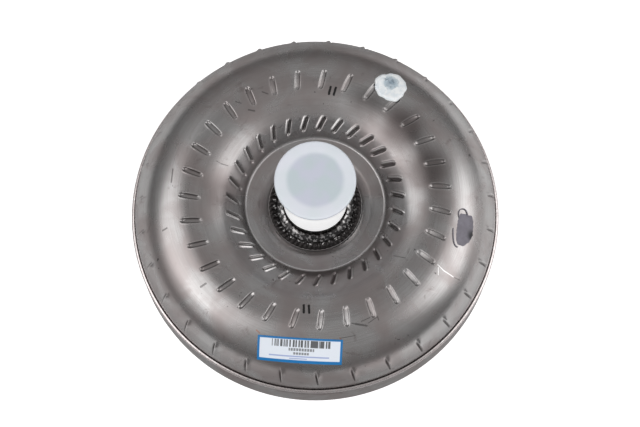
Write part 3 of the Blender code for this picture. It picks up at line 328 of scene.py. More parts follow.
# %% [markdown]
# Turned or spun steel carries fine rings where the tool ran. They depend on distance from the axis and on
# height, and hardly on the angle, so noise is read in those coordinates, squeezed along the angle. A Wave
# texture in ring mode would look too regular.

# %% Shared effect: turning marks
w, got, end = shader_group(
    "turning_marks",
    [("Place", "v", None), ("Spacing", "f", 0.0006), ("Along", "f", 1.5)],
    [("Lines", "f")],
)
parts = w.node("ShaderNodeSeparateXYZ", {0: got["Place"]}).outputs
flat = w.vector("MULTIPLY", got["Place"], (1.0, 1.0, 0.0))
radius = w.vector("LENGTH", flat, out="Value")
angle = w.math("ARCTAN2", parts[1], parts[0])
across = w.math("DIVIDE", radius, got["Spacing"])
up = w.math("DIVIDE", parts[2], got["Spacing"])
around = w.math("MULTIPLY", w.math("ABSOLUTE", angle), got["Along"])
squeezed = w.node("ShaderNodeCombineXYZ", {0: across, 1: up, 2: around}).outputs[0]
w.tree.links.new(w.noise(squeezed, 1.0, 2.0, 0.6), end.inputs["Lines"])
turning_marks = w.tree
print("turning_marks:", len(turning_marks.nodes), "nodes")

# %% [markdown]
# Bare steel that has been handled is never one grey: thin oil, fingermarks and heat leave soft clouds, and
# small dark specks. Two sizes of noise do both. The clouds come out as a value to mix two steels by, and
# the specks as a mask.

# %% Shared effect: handling stains
w, got, end = shader_group(
    "handling_stains",
    [("Place", "v", None), ("Size", "f", 0.03), ("Amount", "f", 1.0)],
    [("Clouds", "f"), ("Specks", "f"), ("Blotches", "f")],
)
scale = w.math("DIVIDE", 1.0, got["Size"])
clouds = w.noise(got["Place"], scale, 3.0, 0.55, 0.6)
w.tree.links.new(w.ramp(clouds, 0.32, 0.68), end.inputs["Clouds"])
shifted = w.vector("ADD", got["Place"], (0.31, 0.17, 0.05))
small = w.noise(shifted, w.math("MULTIPLY", scale, 9.0), 2.0, 0.5)
speck = w.math("MULTIPLY", w.ramp(small, 0.735, 0.775), got["Amount"], clamp=True)
w.tree.links.new(speck, end.inputs["Specks"])
middle = w.noise(shifted, w.math("MULTIPLY", scale, 2.3), 4.0, 0.65, 1.2)
blotch = w.math("MULTIPLY", w.ramp(middle, 0.60, 0.72), got["Amount"], clamp=True)
w.tree.links.new(blotch, end.inputs["Blotches"])
handling_stains = w.tree
print("handling_stains:", len(handling_stains.nodes), "nodes")

# %% [markdown]
# Handling also leaves hair-thin scratches in all directions. The zero line of a noise is already a thin
# wandering curve, so a narrow band about it makes a scratch, and a second noise breaks it into short runs.

# %% Shared effect: hair scratches
w, got, end = shader_group(
    "hair_scratches",
    [("Place", "v", None), ("Size", "f", 0.02), ("Amount", "f", 0.5)],
    [("Mask", "f")],
)
scale = w.math("DIVIDE", 1.0, got["Size"])
pulled = w.vector("MULTIPLY", got["Place"], (0.35, 1.6, 1.0))
line = w.math("ABSOLUTE", w.math("SUBTRACT", w.noise(pulled, scale, 1.0, 0.4, 0.3), 0.5))
runs = w.ramp(w.noise(got["Place"], w.math("MULTIPLY", scale, 1.7), 1.0), 0.58, 0.66)
thin = w.ramp(line, 0.0015, 0.006, 1.0, 0.0)
mask = w.math("MULTIPLY", w.math("MULTIPLY", thin, runs), got["Amount"], clamp=True)
w.tree.links.new(mask, end.inputs["Mask"])
hair_scratches = w.tree
print("hair_scratches:", len(hair_scratches.nodes), "nodes")

# %% [markdown]
# A pen stroke, a chalk line or a deep scratch lies at one place. It can be painted on a texture, or found
# as the distance from a straight line between two points, with a little noise so that its edge is uneven.
# The second needs no image and no UV map.

# %% Shared effect: one stroke between two points
w, got, end = shader_group(
    "stroke",
    [
        ("Place", "v", None),
        ("Start", "v", None),
        ("End", "v", None),
        ("Width", "f", 0.001),
        ("Unevenness", "f", 0.3),
    ],
    [("Mask", "f")],
)
run = w.vector("SUBTRACT", got["End"], got["Start"])
offset = w.vector("SUBTRACT", got["Place"], got["Start"])
run_length = w.vector("DOT_PRODUCT", run, run, out="Value")
share = w.math("DIVIDE", w.vector("DOT_PRODUCT", offset, run, out="Value"), run_length, clamp=True)
nearest = w.vector("SCALE", run, scale=share)
away = w.vector("LENGTH", w.vector("SUBTRACT", offset, nearest), out="Value")
rough = w.math("SUBTRACT", w.noise(got["Place"], 900.0, 2.0), 0.5)
away = w.math("ADD", away, w.math("MULTIPLY", w.math("MULTIPLY", rough, got["Width"]), got["Unevenness"]))
inner = w.math("MULTIPLY", got["Width"], 0.38)
outer = w.math("MULTIPLY", got["Width"], 0.55)
w.tree.links.new(w.ramp(away, inner, outer, 1.0, 0.0), end.inputs["Mask"])
stroke = w.tree
print("stroke:", len(stroke.nodes), "nodes")

# %% [markdown]
# The outside of the impeller shell is a half torus. Places on it are easiest to give the way a workshop
# would: an angle round the axis and a radius. The same rule gives the point, its normal and, further on,
# the whole turned profile, so a stroke or a sticker always lies on the metal.

# %% The shell's curve as a rule
SHELL_WALL = 3.6 * MM
CREST_RADIUS = 101.0 * MM
CREST_RISE = 42.0 * MM
TORUS_Z = CREST_Z - CREST_RISE
OUTER_REACH = SHELL_RIM - CREST_RADIUS
INNER_REACH = 54.0 * MM
RING_RADIUS = 56.5 * MM


def on_shell(radius, degrees, lift=0.0):
    """The point on the shell's outside at a radius and an angle, lifted along the normal."""
    reach = OUTER_REACH if radius > CREST_RADIUS else INNER_REACH
    share = (radius - CREST_RADIUS) / reach
    rise = sqrt(max(0.0, 1 - share * share))
    slope = Vector((share / reach, rise / CREST_RISE)).normalized()
    r = radius + lift * slope.x
    z = TORUS_Z + CREST_RISE * rise + lift * slope.y
    return Vector((r * cos(radians(degrees)), r * sin(radians(degrees)), z))


def drop_on_shell(point, down, lift=0.0):
    """Follows a straight line from a point until it meets the shell, then lifts the spot a little."""
    low, high = 0.0, 0.03
    for _ in range(40):
        middle = (low + high) / 2
        spot = point + down * middle
        r = hypot(spot.x, spot.y)
        reach = OUTER_REACH if r > CREST_RADIUS else INNER_REACH
        inside = ((r - CREST_RADIUS) / reach) ** 2 + ((spot.z - TORUS_Z) / CREST_RISE) ** 2 < 1
        low, high = (low, middle) if inside else (middle, high)
    return point + down * (high - lift)


print("the shell's crest is at", [round(v / MM, 1) for v in on_shell(CREST_RADIUS, 0)], "mm")

# %% [markdown]
# The shell is pressed from mild steel and left bare, so it is a metal all over: a mid grey with a little
# warmth, half glossy. One function makes such a steel from the shared effects: soft clouds of oil, fine
# turning rings, blotches, specks and scratches. Its values are what tells one steel part from another.

# %% Steel with rings and stains


def start_material(name):
    """A new material with an empty tree. Returns it, its wires, its shader and its Object coordinates."""
    look = bpy.data.materials.new(name)
    look.use_nodes = True
    look.node_tree.nodes.clear()
    wires = Wires(look.node_tree)
    shader = wires.node("ShaderNodeBsdfPrincipled")
    out = wires.node("ShaderNodeOutputMaterial")
    wires.tree.links.new(shader.outputs[0], out.inputs["Surface"])
    place = wires.node("ShaderNodeTexCoord").outputs["Object"]
    return look, wires, shader, place


def steel(name, base, roughness, ring_spacing=0.0007, ring_depth=0.00002, stain=0.6, warm=0.05):
    """Steel with clouds, specks, scratches and turning rings."""
    look, w, shader, place = start_material(name)
    stains = w.group(handling_stains, Place=place, Size=0.035, Amount=stain)
    clouded = w.colour(stains.outputs["Clouds"], grey(base * 0.80, warm * 1.6), grey(base * 1.10, warm * 0.1))
    rings = w.group(turning_marks, Place=place, Spacing=ring_spacing).outputs["Lines"]
    ringed = w.colour(w.ramp(rings, 0.35, 0.75, 0.0, 0.42), clouded, grey(base * 0.70, warm))
    blotched = w.colour(
        w.math("MULTIPLY", stains.outputs["Blotches"], 0.6), ringed, grey(base * 0.55, warm * 2)
    )
    specked = w.colour(stains.outputs["Specks"], blotched, grey(base * 0.25, warm))
    scratches = w.group(hair_scratches, Place=place, Size=0.03, Amount=0.5).outputs["Mask"]
    scratched = w.colour(w.math("MULTIPLY", scratches, 0.5), specked, grey(base * 1.5, warm))
    w.tree.links.new(scratched, shader.inputs["Base Color"])
    shader.inputs["Metallic"].default_value = 1.0
    gloss = w.ramp(stains.outputs["Clouds"], 0.0, 1.0, roughness * 1.12, roughness * 0.92)
    w.tree.links.new(gloss, shader.inputs["Roughness"])
    bump = w.node("ShaderNodeBump", {"Strength": 0.5, "Distance": ring_depth, "Height": rings})
    w.tree.links.new(bump.outputs[0], shader.inputs["Normal"])
    return look, w, shader, place, scratched, bump


print("steel is made from", len((turning_marks, handling_stains, hair_scratches)), "shared effects")

# %% [markdown]
# Over the steel come the marks that people leave: strokes between two points, for marker, chalk and scuffs. The
# soft dark patches are not such marks; they are painted dark reflections. The real steel looks darker in those
# places, most likely from something dark that it mirrors, which this stage's panels don't give. So painted dark
# patches stand in for it, and unlike a reflection they stay where they are as the light or the view changes. All
# are listed as places on the shell, by radius and angle, so each can be moved by itself. The marker strokes are
# plain dashes.

# %% Strokes and painted dark reflections


def add_strokes(w, place, colour, strokes, ink, strength=1.0):
    """Lays strokes over a colour. Each stroke is its start, its end and its width."""
    for start, finish, width in strokes:
        inputs = {"Place": place, "Start": start, "End": finish, "Width": width}
        mask = w.group(stroke, **inputs).outputs["Mask"]
        if strength < 1:
            mask = w.math("MULTIPLY", mask, strength)
        colour = w.colour(mask, colour, ink)
    return colour


def add_painted_reflections(w, place, colour, painted_dark_reflections, tone):
    """Painted dark reflections, as soft dark patches. Each patch is its middle, its reach and its strength."""
    for middle, reach, strength in painted_dark_reflections:
        away = w.vector("LENGTH", w.vector("SUBTRACT", place, tuple(middle)), out="Value")
        colour = w.colour(w.ramp(away, reach * 0.2, reach, strength, 0.0), colour, tone)
    return colour


# Painted dark reflections: on the crest and inside the torus to the right, and inside it to the left.
painted_dark_reflections = [
    (on_shell(93.0 * MM, 15.0), 29 * MM, 0.85),
    (on_shell(90.0 * MM, 39.0), 28 * MM, 0.88),
    (on_shell(87.0 * MM, 62.0), 22 * MM, 0.60),
    (on_shell(97.0 * MM, 356.0), 20 * MM, 0.25),
    (on_shell(63.0 * MM, 12.0), 20 * MM, 0.45),
    (on_shell(75.0 * MM, 177.0), 23 * MM, 0.62),
]
marker_dashes = [
    (on_shell(88.5 * MM, 80.2), on_shell(94.5 * MM, 79.8), 2.0 * MM),
    (on_shell(88.5 * MM, 82.8), on_shell(94.5 * MM, 82.4), 2.0 * MM),
    (on_shell(89.0 * MM, 264.2), on_shell(95.0 * MM, 264.6), 2.0 * MM),
    (on_shell(89.0 * MM, 266.8), on_shell(95.0 * MM, 267.2), 2.0 * MM),
]
chalk_lines = [
    (on_shell(111.5 * MM, 330.1), on_shell(118.0 * MM, 329.4), 0.9 * MM),
    (on_shell(118.0 * MM, 329.4), on_shell(126.5 * MM, 329.6), 0.9 * MM),
    (on_shell(113.0 * MM, 329.2), on_shell(116.0 * MM, 326.8), 0.6 * MM),
]
dark_scuffs = [
    (on_shell(127.5 * MM, 329.7), on_shell(132.0 * MM, 330.2), 0.7 * MM),
    (on_shell(116.6 * MM, 168.0), on_shell(115.8 * MM, 173.5), 1.3 * MM),
    (on_shell(75.5 * MM, 158.3), on_shell(80.5 * MM, 159.0), 0.9 * MM),
    (on_shell(80.5 * MM, 159.0), on_shell(85.0 * MM, 158.7), 0.6 * MM),
    (on_shell(120.5 * MM, 191.8), on_shell(124.0 * MM, 192.2), 1.6 * MM),
    (on_shell(95.5 * MM, 113.6), on_shell(99.0 * MM, 115.6), 1.1 * MM),
    (on_shell(78.0 * MM, 322.6), on_shell(87.0 * MM, 324.9), 0.8 * MM),
    (on_shell(108.5 * MM, 287.0), on_shell(112.5 * MM, 291.0), 1.6 * MM),
    (on_shell(108.0 * MM, 289.5), on_shell(107.5 * MM, 293.5), 0.8 * MM),
    (on_shell(109.0 * MM, 296.5), on_shell(112.0 * MM, 296.3), 0.9 * MM),
    (on_shell(116.5 * MM, 279.5), on_shell(116.8 * MM, 285.5), 0.6 * MM),
    (on_shell(111.5 * MM, 219.5), on_shell(116.0 * MM, 219.2), 1.8 * MM),
    (on_shell(88.3 * MM, 123.8), on_shell(91.5 * MM, 126.0), 1.5 * MM),
    (on_shell(130.0 * MM, 17.0), on_shell(130.6 * MM, 17.2), 2.0 * MM),
    (on_shell(107.0 * MM, 285.5), on_shell(110.5 * MM, 288.5), 0.9 * MM),
    (on_shell(111.0 * MM, 292.0), on_shell(109.5 * MM, 296.0), 0.7 * MM),
    (on_shell(105.5 * MM, 119.0), on_shell(104.0 * MM, 122.5), 1.0 * MM),
    (on_shell(99.5 * MM, 127.0), on_shell(103.5 * MM, 128.5), 0.8 * MM),
]
print(len(painted_dark_reflections), "smudges,", len(marker_dashes + chalk_lines + dark_scuffs), "strokes")

# %% [markdown]
# The shell's finish lays them on in order: painted dark reflections first, then the painted shade on the blade
# marks' floors and walls and the painted highlights on their edges (two attributes that the mesh will carry),
# then scuffs, chalk and rust, with marker last. Marker ink is not metal, so the metallic share follows how dark
# the colour is.

# %% Finish: bare pressed steel
STEEL_GREY = 0.47
pressed, w, shader, place, colour, bump = steel("pressed_steel_fine", STEEL_GREY, 0.27, stain=1.0, warm=0.05)
# Painted dark reflections: soft patches of dark warm grey laid over the steel.
colour = add_painted_reflections(w, place, colour, painted_dark_reflections, grey(STEEL_GREY * 0.28, 0.12))
# Painted shade darkens the blade marks' floors and walls, and painted highlights lighten their edges and dots.
painted_mark_shade = w.node("ShaderNodeAttribute", attribute_name="mark_painted_shade").outputs["Fac"]
colour = w.colour(w.math("MULTIPLY", painted_mark_shade, 0.6), colour, grey(0.13, 0.05))
painted_highlight = w.node("ShaderNodeAttribute", attribute_name="mark_painted_highlight").outputs["Fac"]
colour = w.colour(w.math("MULTIPLY", painted_highlight, 0.8), colour, grey(0.95, 0.01))
colour = add_strokes(w, place, colour, dark_scuffs, grey(0.12, 0.04), 0.7)
colour = add_strokes(w, place, colour, chalk_lines, grey(0.95), 0.75)
rust = [(on_shell(117.5 * MM, 247.0), on_shell(118.5 * MM, 248.5), 1.2 * MM)]
rust += [(on_shell(131.0 * MM, 250.0), on_shell(133.5 * MM, 251.5), 1.0 * MM)]
rust += [(on_shell(116.0 * MM, 279.6), on_shell(118.5 * MM, 279.9), 0.8 * MM)]
colour = add_strokes(w, place, colour, rust, (0.55, 0.22, 0.12, 1.0), 0.5)
colour = add_strokes(w, place, colour, marker_dashes, (0.004, 0.004, 0.004, 1.0))
w.tree.links.new(colour, shader.inputs["Base Color"])
ink = w.math("MINIMUM", w.node("ShaderNodeRGBToBW", {0: colour}).outputs[0], 1.0)
w.tree.links.new(w.ramp(ink, 0.02, 0.2, 0.0, 1.0), shader.inputs["Metallic"])
print("pressed_steel_fine:", len(pressed.node_tree.nodes), "nodes")

# %% [markdown]
# The other finishes are the same steel with other values: finer, brighter rings where a piece is machined,
# a blue-grey for spring steel. Cast aluminium is lighter and grainy; paper, rubber and nylon are not metal.

# %% Finishes: machined, spring, cast, paper, rubber, nylon
machined = steel("machined_steel_fine", 0.56, 0.24, 0.00035, 0.00003, 0.3, 0.02)[0]
cover_steel = steel("cover_steel_fine", 0.42, 0.34, 0.0011, 0.00003, 0.8, 0.07)[0]
spring = steel("spring_steel_fine", 0.34, 0.28, 0.0004, 0.00001, 0.3, -0.03)[0]


def plain(name, colour, roughness, metallic=0.0, grain=0.0012, depth=0.0001, spread=0.12):
    """A finish with a fine grain in colour and relief."""
    look, w, shader, place = start_material(name)
    speckle = w.noise(place, 1 / grain, 3.0, 0.6)
    dark = tuple(c * (1 - spread) for c in colour) + (1.0,)
    light = tuple(min(1.0, c * (1 + spread)) for c in colour) + (1.0,)
    w.tree.links.new(w.colour(w.ramp(speckle, 0.35, 0.65), dark, light), shader.inputs["Base Color"])
    shader.inputs["Metallic"].default_value = metallic
    w.tree.links.new(w.ramp(speckle, 0.3, 0.7, roughness * 0.9, roughness * 1.1), shader.inputs["Roughness"])
    bump = w.node("ShaderNodeBump", {"Strength": 0.5, "Distance": depth, "Height": speckle})
    w.tree.links.new(bump.outputs[0], shader.inputs["Normal"])
    return look


cast = plain("cast_aluminium_fine", (0.62, 0.63, 0.64), 0.42, 0.9, 0.0009, 0.00012)
paper = plain("friction_paper_fine", (0.16, 0.105, 0.06), 0.85, 0.0, 0.0005, 0.00008, 0.25)
rubber = plain("seal_rubber_fine", (0.02, 0.02, 0.022), 0.5, 0.0, 0.0008, 0.00004)
nylon = plain("nylon_fine", (0.62, 0.58, 0.48), 0.45, 0.0, 0.002, 0.00003, 0.05)
print("finishes so far:", len(bpy.data.materials))

# %% [markdown]
# Now the shell itself. It is a torus with 31 equal sectors, because 31 blades are fixed inside it and each
# leaves three pressed marks outside: a slanting one near the centre, a lens on the crest, and a slit with
# a raised lip on the flank. Booleans with 93 cutters would leave ragged faces, and a bump map gives no
# silhouette. So one sector is a grid of points moved by a rule for each mark, and the tree above repeats
# it. The grid's columns lean with the marks, so that edges of the grid run along the edges of each mark.

# %% The three rows of marks on one sector
SECTORS = 31
SECTOR = 2 * pi / SECTORS
# Each row: radius at its outer and inner end, angle of its middle, how far its inner end leans forward, and
# where the grid's columns lie across it, in millimetres.
INNER_ROW = dict(ends=(71.6, 61.2), angle=4.75, lean=7.6)
INNER_ROW["columns"] = (-5.6, -4.2, -3.2, -2.6, -2.2, -1.7, -1.1, -0.5, 0, 0.5, 1.0, 1.5, 2.0, 2.6, 3.3, 4.4, 5.6)
CREST_ROW = dict(ends=(108.6, 92.2), angle=5.35, lean=3.6)
CREST_ROW["columns"] = (-8, -5.4, -3.6, -2.9, -2.4, -2.0, -1.5, -0.8, 0, 0.8, 1.5, 2.0, 2.4, 2.9, 3.6, 5.4, 8)
OUTER_ROW = dict(ends=(146.0, 138.8), angle=3.65, lean=-2.6)
OUTER_ROW["columns"] = (-11, -7, -4.4, -2.9, -1.9, -1.3, -0.8, -0.35, 0.1, 0.6, 1.2, 1.9, 2.8, 3.9, 5.6, 8.4, 11)


def half_sine(x):
    """0 at both ends of -1..1 and 1 in the middle."""
    return cos(x * pi / 2) ** 2 if abs(x) < 1 else 0.0


def capsule(p, q, half_length, half_width):
    """Distance from the middle line of a round-ended slot, in half-widths: 1 on its edge."""
    past = max(0.0, abs(q) - (half_length - half_width))
    return hypot(p, past) / half_width


def crest_mark(p, q, half_length):
    """Height, painted shade and painted highlight of a slot on the crest. p is across it and q along it, in mm.
    """
    d = capsule(p, q, half_length, 2.25 - 0.5 * (q / half_length) ** 2)
    floor = min(1.0, max(0.0, (1.0 - d) / 0.36))
    floor = floor * floor * (3 - 2 * floor)
    rim = exp(-(((d - 1.16) / 0.15) ** 2))
    dot = exp(-(p * p + (q - half_length + 1.0) ** 2) / 0.9)
    pit = exp(-(p * p + (q + half_length - 1.4) ** 2) / 1.1)
    height = -(0.95 - 0.2 * p) * floor + 0.14 * rim + 0.55 * dot - 0.3 * pit
    # Painted shade on the slot's walls and floor, darker on one side and lighter at the dot; painted highlight on
    # the dot and the rim.
    wall = exp(-(((d - 0.82) / 0.2) ** 2))
    dark = 0.9 * wall + floor * (0.42 if p < 0 else 0.22) + 0.4 * pit - 0.8 * dot
    return height, min(1.0, max(0.0, dark)), min(1.0, 0.35 * dot + 0.25 * rim)


def inner_mark(p, q, half_length):
    """A slanting mark: a deep groove on one side, a raised ridge on the other. The groove gets painted shade, and
    the ridge and the dot get a painted highlight.
    """
    d = capsule(p, q, half_length, 2.7)
    end = min(1.0, max(0.0, (1.0 - d) / 0.3))
    groove = half_sine((p + 0.85) / 1.75) * end
    ridge = half_sine((p - 1.35) / 1.3) * end
    dot = exp(-(p * p + (q + half_length - 1.2) ** 2) / 0.8)
    # Painted shade in the groove; painted highlight on the dot and the ridge.
    return -1.4 * groove + 0.8 * ridge + 0.45 * dot, min(1.0, groove * 1.25), min(1.0, 0.5 * dot + 0.45 * ridge)


def outer_mark(p, q, half_length):
    """A slit beside a raised lip, which shows as a nub on the outline. The slit gets painted shade and the lip a
    painted highlight.
    """
    along = q / half_length
    end = max(0.0, 1 - abs(along) ** 4) ** 0.5
    slit = half_sine((p + 0.75) / (0.95 + 0.3 * along)) * end
    swell = max(0.0, 1 - (along * 0.85) ** 2)
    lip = (half_sine((p - 0.9) / 1.4) if p < 0.9 else half_sine((p - 0.9) / 3.4)) * swell * end
    # A painted highlight along the lip; the slit gets painted shade.
    bright = exp(-(((p - 0.75) / 0.4) ** 2)) * swell * end
    return -0.9 * slit + 1.3 * lip, min(1.0, slit * 1.4), 0.45 * bright


def shell_profile():
    """The shell's outside from its rim to its hole: radius, height and a fine step where marks are."""
    spots = [(SHELL_RIM, SHELL_BOTTOM), (SHELL_RIM, TORUS_Z - 3 * MM)]
    steps = [0, 3, 6] + [8 + 1.15 * i for i in range(20)] + [32 + 2.6 * i for i in range(15)]
    steps += [70.0 + 0.85 * i for i in range(24)] + [90]
    spots += [
        (CREST_RADIUS + OUTER_REACH * cos(radians(a)), TORUS_Z + CREST_RISE * sin(radians(a))) for a in steps
    ]
    radius = CREST_RADIUS - 0.8 * MM
    inner = []
    while radius > 57.4 * MM:
        inner.append(radius)
        fine = 91.0 * MM < radius or 60.6 * MM < radius < 73.0 * MM
        radius -= (0.8 if radius > 91 * MM else 0.55 if fine else 1.5) * MM
    for radius in inner:
        spot = on_shell(radius, 0)
        spots.append((spot.x, spot.z))
    return spots


ring_z = on_shell(RING_RADIUS, 0).z
print("the marks repeat every", round(360 / SECTORS, 3), "degrees")

# %% [markdown]
# Inside the torus the shell folds into a shallow dish that carries the hub. Its corner has a small radius, which
# catches a thin bright line round it, and a painted highlight along the corner makes that line brighter. The dish
# ends in a step down to the flat that the hub is welded to. These are eased corners again, added to the same
# profile before the sector is built.

# %% The dish and the whole profile
dish = ease_corners(
    [
        (57.6 * MM, on_shell(57.6 * MM, 0).z, 0),
        (56.0 * MM, ring_z - 0.5 * MM, 1.0 * MM),
        (50.0 * MM, ring_z - 0.9 * MM, 4.5 * MM),
        (44.0 * MM, ring_z - 1.5 * MM, 2.2 * MM),
        (38.7 * MM, WELD_BOTTOM + 0.3 * MM, 0.9 * MM),
        (37.9 * MM, WELD_BOTTOM - 0.3 * MM, 0.2 * MM),
        (HUB_FLANGE + 0.3 * MM, WELD_BOTTOM - 0.3 * MM, 0),
    ],
    6,
)
outside = shell_profile() + dish[1:]
steps_along = [0.0]
for (r0, z0), (r1, z1) in zip(outside, outside[1:]):
    steps_along.append(steps_along[-1] + hypot(r1 - r0, z1 - z0))


def along_at(radius_mm, outer_side):
    """Distance along the profile, from the rim, to a radius on the torus."""
    best = None
    for (r, z), s in zip(outside, steps_along):
        if (r >= CREST_RADIUS - 1e-9) == outer_side and z > TORUS_Z - 1e-6:
            if best is None or abs(r - radius_mm * MM) < best[0]:
                best = (abs(r - radius_mm * MM), s)
    return best[1]


for row, outer_side in ((INNER_ROW, False), (CREST_ROW, None), (OUTER_ROW, True)):
    first, last = row["ends"]
    row["start"] = along_at(first, True if outer_side is None else outer_side)
    row["stop"] = along_at(last, False if outer_side is None else outer_side)
    row["radius"] = (first + last) / 2 * MM


print("profile", len(outside), "rings,", round(steps_along[-1] / MM, 1), "mm long")

# %% [markdown]
# The grid's columns follow the marks. Near a row they crowd together over the mark and lean as it does,
# and away from it they spread out evenly again. Two small tables say where they are along the profile,
# and they are read by straight lines between their stops.

# %% Columns that follow the marks


def between(value, stops):
    """Straight-line reading of a table of (value, result), where a result is a list of numbers."""
    if value <= stops[0][0]:
        return list(stops[0][1])
    for (a, low), (b, high) in zip(stops, stops[1:]):
        if value <= b:
            t = (value - a) / (b - a) if b > a else 1.0
            return [p + (q - p) * t for p, q in zip(low, high)]
    return list(stops[-1][1])


column_stops, lean_stops = [], []
for row in (OUTER_ROW, CREST_ROW, INNER_ROW):
    fractions = [c * MM / (row["radius"] * SECTOR) for c in row["columns"]]
    tilt = row["lean"] * MM / row["radius"] / 2
    middle = radians(row["angle"])
    slack = 2.5 * MM
    for s, angle in ((row["start"] - slack, middle - tilt), (row["stop"] + slack, middle + tilt)):
        column_stops.append((s, fractions))
        lean_stops.append((s, [angle]))
even = [(i - 8) / 18 for i in range(17)]
column_stops.append((steps_along[-1], even))
print("columns follow", len(column_stops), "stops along the profile")

# %% [markdown]
# One sector is that grid: a line of points for each ring of the profile, lifted or sunk by the row's rule.
# The rule's painted shade and painted highlight values are stored as attributes for the finish. The inside of the
# shell is plainer, and the last lines join back to the first, so that the sector is a closed band.

# %% One sector of the shell


def shell_sector():
    bm = bmesh.new()
    painted_shade_layer = bm.verts.layers.float.new("mark_painted_shade")
    painted_highlight_layer = bm.verts.layers.float.new("mark_painted_highlight")
    grid = []
    last = len(outside) - 1
    rules = ((OUTER_ROW, outer_mark), (CREST_ROW, crest_mark), (INNER_ROW, inner_mark))
    for k, (r, z) in enumerate(outside):
        s = steps_along[k]
        before, after = outside[max(k - 1, 0)], outside[min(k + 1, last)]
        normal = Vector((before[1] - after[1], after[0] - before[0]))
        normal = -normal.normalized()
        lean = between(s, lean_stops)[0]
        fractions = [-0.5] + between(s, column_stops) + [0.5]
        line = []
        for f in fractions:
            lift = dark = painted_highlight = 0.0
            for row, rule in rules:
                if row["start"] - 2.5 * MM < s < row["stop"] + 2.5 * MM:
                    span = (row["stop"] - row["start"]) / MM
                    slant = atan2(row["lean"], span)
                    across, along = f * SECTOR * r / MM, (s - (row["start"] + row["stop"]) / 2) / MM
                    p, q = across * cos(slant), across * sin(slant) + along / cos(slant)
                    lift, dark, painted_highlight = rule(p, q, span / 2 / cos(slant))
            angle = lean + f * SECTOR
            a, b = r + normal.x * lift * MM, z + normal.y * lift * MM
            v = bm.verts.new((a * cos(angle), a * sin(angle), b))
            # A painted highlight along the dish's corner.
            if RING_RADIUS - 1.3 * MM < r < RING_RADIUS + 0.9 * MM:
                painted_highlight = 0.7
            # The mark's painted shade and painted highlight, kept for the finish.
            v[painted_shade_layer] = max(0.0, dark)
            v[painted_highlight_layer] = max(0.0, painted_highlight)
            line.append(v)
        grid.append(line)
    lean = between(steps_along[-1], lean_stops)[0]
    step_z = WELD_BOTTOM - 0.3 * MM - SHELL_WALL
    inner = [(HUB_FLANGE + 0.3 * MM, step_z), (45.3 * MM, step_z)]
    for a in [145.5 - 7 * i for i in range(8)]:
        spot = radians(a)
        inner.append(
            (
                CREST_RADIUS + (INNER_REACH - SHELL_WALL) * cos(spot),
                TORUS_Z + (CREST_RISE - SHELL_WALL) * sin(spot),
            )
        )
    for a in [90 - 9 * i for i in range(11)]:
        spot = radians(a)
        inner.append(
            (
                CREST_RADIUS + (OUTER_REACH - SHELL_WALL) * cos(spot),
                TORUS_Z + (CREST_RISE - SHELL_WALL) * sin(spot),
            )
        )
    inner.append((SHELL_RIM - SHELL_WALL, SHELL_BOTTOM))
    for i, (r, z) in enumerate(inner):
        back = between(steps_along[-1] * (1 - (i + 1) / len(inner)), lean_stops)[0]
        fractions = [-0.5] + even + [0.5]
        if i == len(inner) - 1:
            fractions = [-0.5] + between(0.0, column_stops) + [0.5]
        grid.append(
            [
                bm.verts.new((r * cos(back + f * SECTOR), r * sin(back + f * SECTOR), z))
                for f in fractions
            ]
        )
    for k, line in enumerate(grid):
        other = grid[(k + 1) % len(grid)]
        for i in range(len(line) - 1):
            bm.faces.new((line[i], line[i + 1], other[i + 1], other[i]))
    mesh = bpy.data.meshes.new("impeller_shell_fine")
    bm.to_mesh(mesh)
    bm.free()
    mesh.materials.append(pressed)
    sector = bpy.data.objects.new("impeller_shell_fine", mesh)
    bpy.context.scene.collection.objects.link(sector)
    return sector


print("the shell's wall is", round(SHELL_WALL / MM, 2), "mm")

# %% [markdown]
# The tree from before repeats the sector round the axis. Points that meet at the seams are merged, and the
# count of open edges shows whether the shell is closed: it should be nought.

# %% Repeat it round the axis


def face_outwards(piece):
    """Merges what should be one surface and points its faces outwards."""
    bm = bmesh.new()
    bm.from_mesh(piece.data)
    bmesh.ops.remove_doubles(bm, verts=bm.verts, dist=2e-6)
    bmesh.ops.recalc_face_normals(bm, faces=bm.faces)
    open_edges = sum(1 for e in bm.edges if len(e.link_faces) != 2)
    bm.to_mesh(piece.data)
    bm.free()
    print(piece.name, "has", open_edges, "open edges")
    return piece


shell = repeat_round(shell_sector(), SECTORS, seam=2e-6, sharp=50)
put_on(face_outwards(shell), "housing", "impeller_shell", slot="pressed_steel")

# %% [markdown]
# The front cover is the other half of the housing: a deep-drawn dish with a heavier wall. A turned outline
# is enough. A shallow groove under its lip and a small chamfer are turned in after pressing, to locate the
# shell for welding, and they give the dark lines under the bead.

# %% Front cover
CENTRE_Z = COVER_BOTTOM
FACE_Z = CENTRE_Z + 4.0 * MM
cover_outline = ease_corners(
    [
        (15.9 * MM, CENTRE_Z, 0.3 * MM),
        (58.0 * MM, CENTRE_Z, 3.0 * MM),
        (70.0 * MM, FACE_Z, 3.0 * MM),
        (COVER_RADIUS, FACE_Z, 13.4 * MM),
        (COVER_RADIUS, 56.5 * MM, 0.2 * MM),
        (COVER_RADIUS - 0.7 * MM, 57.3 * MM, 0.5 * MM),
        (COVER_RADIUS - 0.7 * MM, 59.0 * MM, 0.5 * MM),
        (COVER_RADIUS, 59.8 * MM, 0.2 * MM),
        (COVER_RADIUS, 63.4 * MM, 0.5 * MM),
        (COVER_RADIUS - 0.9 * MM, LIP_Z, 0.3 * MM),
        (147.3 * MM, LIP_Z, 0),
        (147.3 * MM, 55.0 * MM, 0),
        (144.4 * MM, 55.0 * MM, 0),
        (144.4 * MM, 27.0 * MM, 8.6 * MM),
        (70.0 * MM, 27.0 * MM, 0),
        (58.0 * MM, 23.0 * MM, 0),
        (15.9 * MM, 23.0 * MM, 0),
    ],
    6,
)
